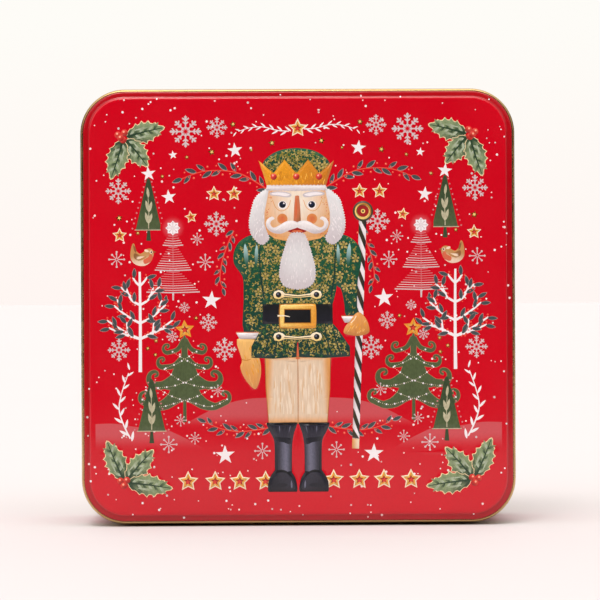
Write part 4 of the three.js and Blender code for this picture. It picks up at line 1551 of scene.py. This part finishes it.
def wall_print():
    """A frieze of snowflakes and stars round the body, upright when the tin lies on its base."""
    rng = random.Random(5)
    sheet = Print()
    length = turn_length(WALL_OUT)
    repeats = 18
    pitch = length / repeats
    low, high = -PRINT_FOOT + 1.5, -PRINT_TOP - 1.0
    for _ in range(520):
        p = (rng.uniform(1, length - 1), rng.uniform(low, high))
        sheet.ink(disc(p, rng.choice((0.35, 0.45, 0.6)), 6), rng.choice(("dot", "white", "frost", "pink")))
    for k in range(repeats):
        x = (k + 0.5) * pitch
        snowflake(sheet, (x, FRIEZE_MIDDLE), 8.2)
        for side in (1, -1):
            needle_sprig(sheet, [(x + side * 10.5, FRIEZE_MIDDLE - 5.0),
                                 (x + side * 12.5, FRIEZE_MIDDLE - 0.5),
                                 (x + side * 12.0, FRIEZE_MIDDLE + 6.0)], 3.0, 3.2, 0.95)
        if k:
            gold_star(sheet, (k * pitch, FRIEZE_MIDDLE), 4.9)
            asterisk(sheet, (k * pitch, FRIEZE_MIDDLE + 10.6), 2.9)
            white_star(sheet, (k * pitch, FRIEZE_MIDDLE - 10.4), 2.6)
        glitter(sheet, (x - 6.4, FRIEZE_MIDDLE + 10.8), 1.5)
        glitter(sheet, (x + 6.4, FRIEZE_MIDDLE - 11.2), 1.5)
    return sheet


def make_body_wall():
    neck_in, wall_in = NECK_OUT - SHEET, WALL_OUT - SHEET
    mouth_w, mouth_y = NECK_OUT - MOUTH_CURL_RADIUS, FRONT + MOUTH_DEPTH + MOUTH_CURL_RADIUS
    bead = WALL_OUT + STOP_BEAD_HEIGHT
    hook_out = SEAM_OUT - SHEET - GAP
    hook_front = BACK - SEAM_DEPTH + SHEET * 2
    section = section_arc(mouth_w, mouth_y, MOUTH_CURL_RADIUS, 0, -300, 20)
    section += [(neck_in, mouth_y + 1.4), (neck_in, STOP_Y - 0.6), (neck_in + 0.05, STOP_Y + 0.2),
                (bead - SHEET - 0.15, STOP_Y + 0.8), (bead - SHEET, STOP_Y + 1.25),
                (bead - SHEET - 0.15, STOP_Y + 1.8), (wall_in, PRINT_TOP), (wall_in, PRINT_TOP + 0.8),
                (wall_in, HOOK_BACK - SHEET - 0.6)]
    section += section_arc(WALL_OUT, HOOK_BACK - SHEET, SHEET, 180, 90, 4)
    section += section_arc(hook_out - SHEET, HOOK_BACK - SHEET, SHEET, 90, 0, 4)
    section += [(hook_out, hook_front), (hook_out - SHEET, hook_front), (hook_out - SHEET, PRINT_FOOT),
                (WALL_OUT, PRINT_FOOT)]
    print_strip = len(section) - 1
    section += [(WALL_OUT, PRINT_TOP), (bead - 0.2, PRINT_TOP - 0.5), (bead - 0.05, STOP_Y + 1.5),
                (bead, STOP_Y + 1.2), (bead - 0.05, STOP_Y + 0.9), (bead - 0.3, STOP_Y + 0.5)]
    bead_strips = range(print_strip + 1, len(section))
    section += [(NECK_OUT, STOP_Y), (NECK_OUT, STOP_Y - 0.8), (NECK_OUT, mouth_y + 0.9)]
    slots = [GROUND if k in bead_strips else INSIDE for k in range(len(section))]

    build = Build()
    turns = [build.turn(w, y) for w, y in section]
    for k, current in enumerate(turns):
        if k != print_strip:
            build.bridge(current, turns[(k + 1) % len(turns)], slots[k])

    sheet = wall_print()
    runs = list(turn_runs(WALL_OUT)) + [turn_length(WALL_OUT)]
    foot, top = -PRINT_FOOT, -PRINT_TOP
    outline_loop = [(s, foot) for s in runs] + [(s, top) for s in runs[::-1]]
    extra = [(s, v) for s in np.arange(2, runs[-1] - 1, 2.0) for v in np.arange(foot + 2, top - 1, 3.0)]
    flat, triangles, tops = sheet.triangles([outline_loop], extra)

    def on_wall(points):
        xz = wrap(points[:, 0], WALL_OUT)
        return np.stack((xz[:, 0], -points[:, 1], xz[:, 1]), 1)

    lay(build, sheet, flat, triangles, tops, on_wall, "ground")
    side_seam(build, neck_in, mouth_y + 1.2, STOP_Y)
    side_seam(build, wall_in, PRINT_TOP, HOOK_BACK - 4)
    build.finish("printed_body_wall", [*PRINTS, GOLD_INSIDE], "tin", "body_wall", "printed_wall")


def side_seam(build, inside_w, start, stop):
    """The folded lock of the strip's ends, proud of the inside of the underside."""
    half, top = SIDE_SEAM_WIDTH / 2, -inside_w + SIDE_SEAM_HEIGHT
    foot = -inside_w - SHEET / 2
    section = [(-half, foot), (half, foot), (half, top - 0.25), (half - 0.1, top - 0.05), (half - 0.3, top),
               (0.3, top), (0.15, top - 0.18), (0, top), (-half + 0.3, top), (-half + 0.1, top - 0.05),
               (-half, top - 0.25)]
    near = build.add([(x, start, z) for x, z in section])
    far = build.add([(x, stop, z) for x, z in section])
    count = len(section)
    for i in range(count):
        j = (i + 1) % count
        build.face((near[i], near[j], far[j], far[i]), INSIDE)
    build.face(near[::-1], INSIDE)
    build.face(far, INSIDE)


def make_base_plate():
    chuck_in = WALL_OUT - SHEET * 2 - GAP
    plate_y = BACK - BASE_RECESS
    outer_w, lip_y = SEAM_OUT - SEAM_RADIUS, BACK - SEAM_DEPTH
    inner = SEAM_RADIUS - SHEET
    back = [(BASE_STEP_EDGE - 1.5, plate_y - BASE_STEP_HEIGHT),
            (BASE_STEP_EDGE - 0.5, plate_y - BASE_STEP_HEIGHT),
            (BASE_STEP_EDGE - 0.2, plate_y - BASE_STEP_HEIGHT + 0.08), (BASE_STEP_EDGE + 0.2, plate_y - 0.08),
            (BASE_STEP_EDGE + 0.5, plate_y), (BASE_STEP_EDGE + 1.5, plate_y),
            (chuck_in - SEAM_RADIUS - 0.8, plate_y)]
    back += section_arc(chuck_in - SEAM_RADIUS, plate_y + SEAM_RADIUS, SEAM_RADIUS, -90, 0, 6)
    back += section_arc(chuck_in + SEAM_RADIUS, BACK - SEAM_RADIUS, SEAM_RADIUS, 180, 90, 6)
    back += section_arc(outer_w, BACK - SEAM_RADIUS, SEAM_RADIUS, 90, 0, 6)
    back += section_arc(outer_w, lip_y + SEAM_RADIUS, SEAM_RADIUS, 0, -90, 6)
    back += [(WALL_OUT + GAP, lip_y)]
    front = [(WALL_OUT + GAP, lip_y + SHEET)]
    front += section_arc(outer_w, lip_y + SEAM_RADIUS, inner, -90, 0, 3)
    front += section_arc(outer_w, BACK - SEAM_RADIUS, inner, 0, 90, 3)
    front += section_arc(chuck_in + SEAM_RADIUS, BACK - SEAM_RADIUS, inner, 90, 180, 3)
    front += section_arc(chuck_in - SEAM_RADIUS, plate_y + SEAM_RADIUS, SEAM_RADIUS + SHEET, 0, -90, 4)
    front += [(BASE_STEP_EDGE + 0.7, plate_y - SHEET),
              (BASE_STEP_EDGE - 0.3, plate_y - BASE_STEP_HEIGHT - SHEET)]
    build = Build()
    turns = [build.turn(w, y) for w, y in back + front]
    for a, b in zip(turns, turns[1:]):
        build.bridge(a, b, 0)
    build.cap(turns[0], back[0][1], 0, True)
    build.cap(turns[-1], front[-1][1], 0, False)
    build.finish("gold_base_plate", [GOLD_BASE], "tin", "base_plate", "gold_tinplate")


PAD_EDGE = PAD_HIGH.x / MM
PAD_FRONT, PAD_BACK = PAD_LOW.y / MM, PAD_HIGH.y / MM
PAD_SHEET = 0.35
FLUTE_PITCH = 6.4


def make_cushion_pad():
    """Single-faced corrugated paper: a flat liner and a fluted sheet glued to its front."""
    columns = np.linspace(-PAD_EDGE, PAD_EDGE, 361)
    rows = 25
    build = Build()

    def reach(x):
        over = max(abs(x) - CORNER_CENTRE, 0)
        radius = PAD_EDGE - CORNER_CENTRE
        return CORNER_CENTRE + math.sqrt(max(radius**2 - over**2, 0.04))

    def slab(front_of, back_of):
        sides = []
        for depth in (front_of, back_of):
            ids = [build.add([(x, depth(x), reach(x) * (2 * r / (rows - 1) - 1)) for r in range(rows)])
                   for x in columns]
            sides.append(ids)
        near, far = sides
        last = len(columns) - 1
        for c in range(last):
            for r in range(rows - 1):
                build.face((near[c][r], near[c + 1][r], near[c + 1][r + 1], near[c][r + 1]))
                build.face((far[c][r], far[c][r + 1], far[c + 1][r + 1], far[c + 1][r]))
            build.face((near[c][0], far[c][0], far[c + 1][0], near[c + 1][0]))
            build.face((near[c][-1], near[c + 1][-1], far[c + 1][-1], far[c][-1]))
        for r in range(rows - 1):
            build.face((near[0][r], near[0][r + 1], far[0][r + 1], far[0][r]))
            build.face((near[last][r], far[last][r], far[last][r + 1], near[last][r + 1]))

    depth = (PAD_BACK - PAD_SHEET - 0.02) - PAD_FRONT - PAD_SHEET
    slab(lambda x: PAD_BACK - PAD_SHEET, lambda x: PAD_BACK)
    slab(lambda x: PAD_FRONT + depth * (0.5 - 0.5 * math.cos(2 * math.pi * x / FLUTE_PITCH)),
         lambda x: PAD_FRONT + PAD_SHEET + depth * (0.5 - 0.5 * math.cos(2 * math.pi * x / FLUTE_PITCH)))
    build.finish("corrugated_pad", [PAPER], "tin", "cushion_pad", "pad_paper")


make_body_wall()
make_base_plate()
make_cushion_pad()


# ---------------------------------------------------------------------------------------
# Stage: floor, camera and light
# ---------------------------------------------------------------------------------------

def make_floor():
    """A pale sheet on a table. Only the part near the tin shows in the tin's gloss."""
    material, nodes, links, shader = new_material("floor_paper")
    tone = noise(nodes, links, 3.0, 2.0)
    share, paper = blend(nodes, (0.70, 0.66, 0.665), (0.69, 0.65, 0.655))
    links.new(tone, share)
    links.new(paper, shader.inputs["Base Color"])
    shader.inputs["Roughness"].default_value = 0.9
    shader.inputs["Specular IOR Level"].default_value = 0.0
    for name, low, high, z in (("floor_far", (-60, -60), (60, 60), -0.0003),
                               ("floor_near", (-1.2, -0.62), (1.2, 1.2), 0.0)):
        mesh = bpy.data.meshes.new(name)
        mesh.from_pydata([(low[0], low[1], z), (high[0], low[1], z), (high[0], high[1], z),
                          (low[0], high[1], z)], [], [(0, 1, 2, 3)])
        mesh.materials.append(material)
        floor = bpy.data.objects.new(name, mesh)
        bpy.context.scene.collection.objects.link(floor)
        floor.visible_glossy = z == 0.0


AIM_X, AIM_Z = 0.73, 103.75        # the point of the lid's front that the camera looks at
CAMERA_SHIFT = Vector((-0.013, -1.03, 0))    # metres from there to the camera
LENS = 134.75
ROLL = math.radians(-0.26)


def make_camera():
    aim = Vector((AIM_X * MM, FRONT * MM, AIM_Z * MM))
    camera = bpy.data.objects.new("camera", bpy.data.cameras.new("camera"))
    bpy.context.scene.collection.objects.link(camera)
    camera.data.lens = LENS
    camera.data.sensor_width = 36
    camera.location = aim + CAMERA_SHIFT
    turn = (aim - camera.location).to_track_quat("-Z", "Y").to_matrix().to_4x4()
    camera.rotation_euler = (turn @ Matrix.Rotation(ROLL, 4, "Z")).to_euler()
    bpy.context.scene.camera = camera


def soft_light(name, azimuth, elevation, spread, strength, colour):
    """A far softbox. Azimuth 0 is in front of the lid and 90 to its right; spread is its width in degrees."""
    light = bpy.data.lights.new(name, "SUN")
    light.energy = strength
    light.angle = math.radians(spread)
    light.color = colour
    lamp = bpy.data.objects.new(name, light)
    a, e = math.radians(azimuth), math.radians(elevation)
    towards = Vector((math.sin(a) * math.cos(e), -math.cos(a) * math.cos(e), math.sin(e)))
    lamp.rotation_euler = towards.to_track_quat("Z", "Y").to_euler()
    bpy.context.scene.collection.objects.link(lamp)


# Each wall: its heading, the cosines from it where the wall begins and is full, and its tint
STUDIO_WALLS = (
    ((0, 1, 0), 0.02, 0.12, (0.62, 0.58, 0.53)),
    ((0, 1, 0), 0.5, 0.62, (0.03, 0.03, 0.028)),
    ((0, 0.71, 0.71), 0.72, 0.86, (1.1, 1.05, 1.0)),
)


def make_world():
    """Pale to the camera, and a dim studio with a few bright walls to everything else."""
    world = bpy.data.worlds.new("studio")
    world.use_nodes = True
    nodes, links = world.node_tree.nodes, world.node_tree.links
    nodes.clear()
    place = nodes.new("ShaderNodeTexCoord")
    split = nodes.new("ShaderNodeSeparateXYZ")
    links.new(place.outputs["Generated"], split.inputs["Vector"])
    room = nodes.new("ShaderNodeValToRGB")
    stops = ((0.0, (0.10, 0.09, 0.085)), (0.47, (0.02, 0.02, 0.02)), (0.62, (0.03, 0.03, 0.028)),
             (0.86, (0.22, 0.21, 0.2)), (1.0, (0.6, 0.58, 0.55)))
    ramp = room.color_ramp
    ramp.elements[0].position, ramp.elements[1].position = stops[0][0], stops[-1][0]
    for position, _ in stops[1:-1]:
        ramp.elements.new(position)
    for element, (_, colour) in zip(ramp.elements, stops):
        element.color = (*colour, 1)
    half = nodes.new("ShaderNodeMath")
    half.operation = "MULTIPLY_ADD"
    half.inputs[1].default_value = 0.5
    half.inputs[2].default_value = 0.5
    links.new(split.outputs["Z"], half.inputs[0])
    links.new(half.outputs["Value"], room.inputs["Fac"])
    dim, pale, pick, out = (nodes.new(kind) for kind in (
        "ShaderNodeBackground", "ShaderNodeBackground", "ShaderNodeMixShader", "ShaderNodeOutputWorld"))
    colour = room.outputs["Color"]
    for heading, start, full, tint in STUDIO_WALLS:
        toward = nodes.new("ShaderNodeVectorMath")
        toward.operation = "DOT_PRODUCT"
        toward.inputs[1].default_value = heading
        links.new(place.outputs["Generated"], toward.inputs[0])
        wall = nodes.new("ShaderNodeMixRGB")
        links.new(remap(nodes, links, toward.outputs["Value"], start, full, 0.0, 1.0), wall.inputs["Fac"])
        links.new(colour, wall.inputs["Color1"])
        wall.inputs["Color2"].default_value = (*tint, 1)
        colour = wall.outputs["Color"]
    links.new(colour, dim.inputs["Color"])
    sky = nodes.new("ShaderNodeValToRGB")
    sky.color_ramp.elements[0].position, sky.color_ramp.elements[1].position = 0.5, 0.56
    sky.color_ramp.elements[0].color = (*linear((255, 246, 242)), 1)
    sky.color_ramp.elements[1].color = (*linear((254, 252, 247)), 1)
    links.new(half.outputs["Value"], sky.inputs["Fac"])
    links.new(sky.outputs["Color"], pale.inputs["Color"])
    path = nodes.new("ShaderNodeLightPath")
    links.new(path.outputs["Is Camera Ray"], pick.inputs["Fac"])
    links.new(dim.outputs["Background"], pick.inputs[1])
    links.new(pale.outputs["Background"], pick.inputs[2])
    links.new(pick.outputs["Shader"], out.inputs["Surface"])
    bpy.context.scene.world = world


make_floor()
make_camera()
make_world()
soft_light("overhead", 0, 74, 60, 1.4, (1.0, 0.985, 0.96))
soft_light("overhead_strip", -16, 64, 20, 0.85, (1.0, 0.99, 0.97))
soft_light("left_front", -54, 40, 62, 0.95, (1.0, 0.98, 0.97))
soft_light("right_front", 54, 36, 60, 0.52, (1.0, 0.96, 0.93))
bpy.context.scene.view_settings.view_transform = "Standard"
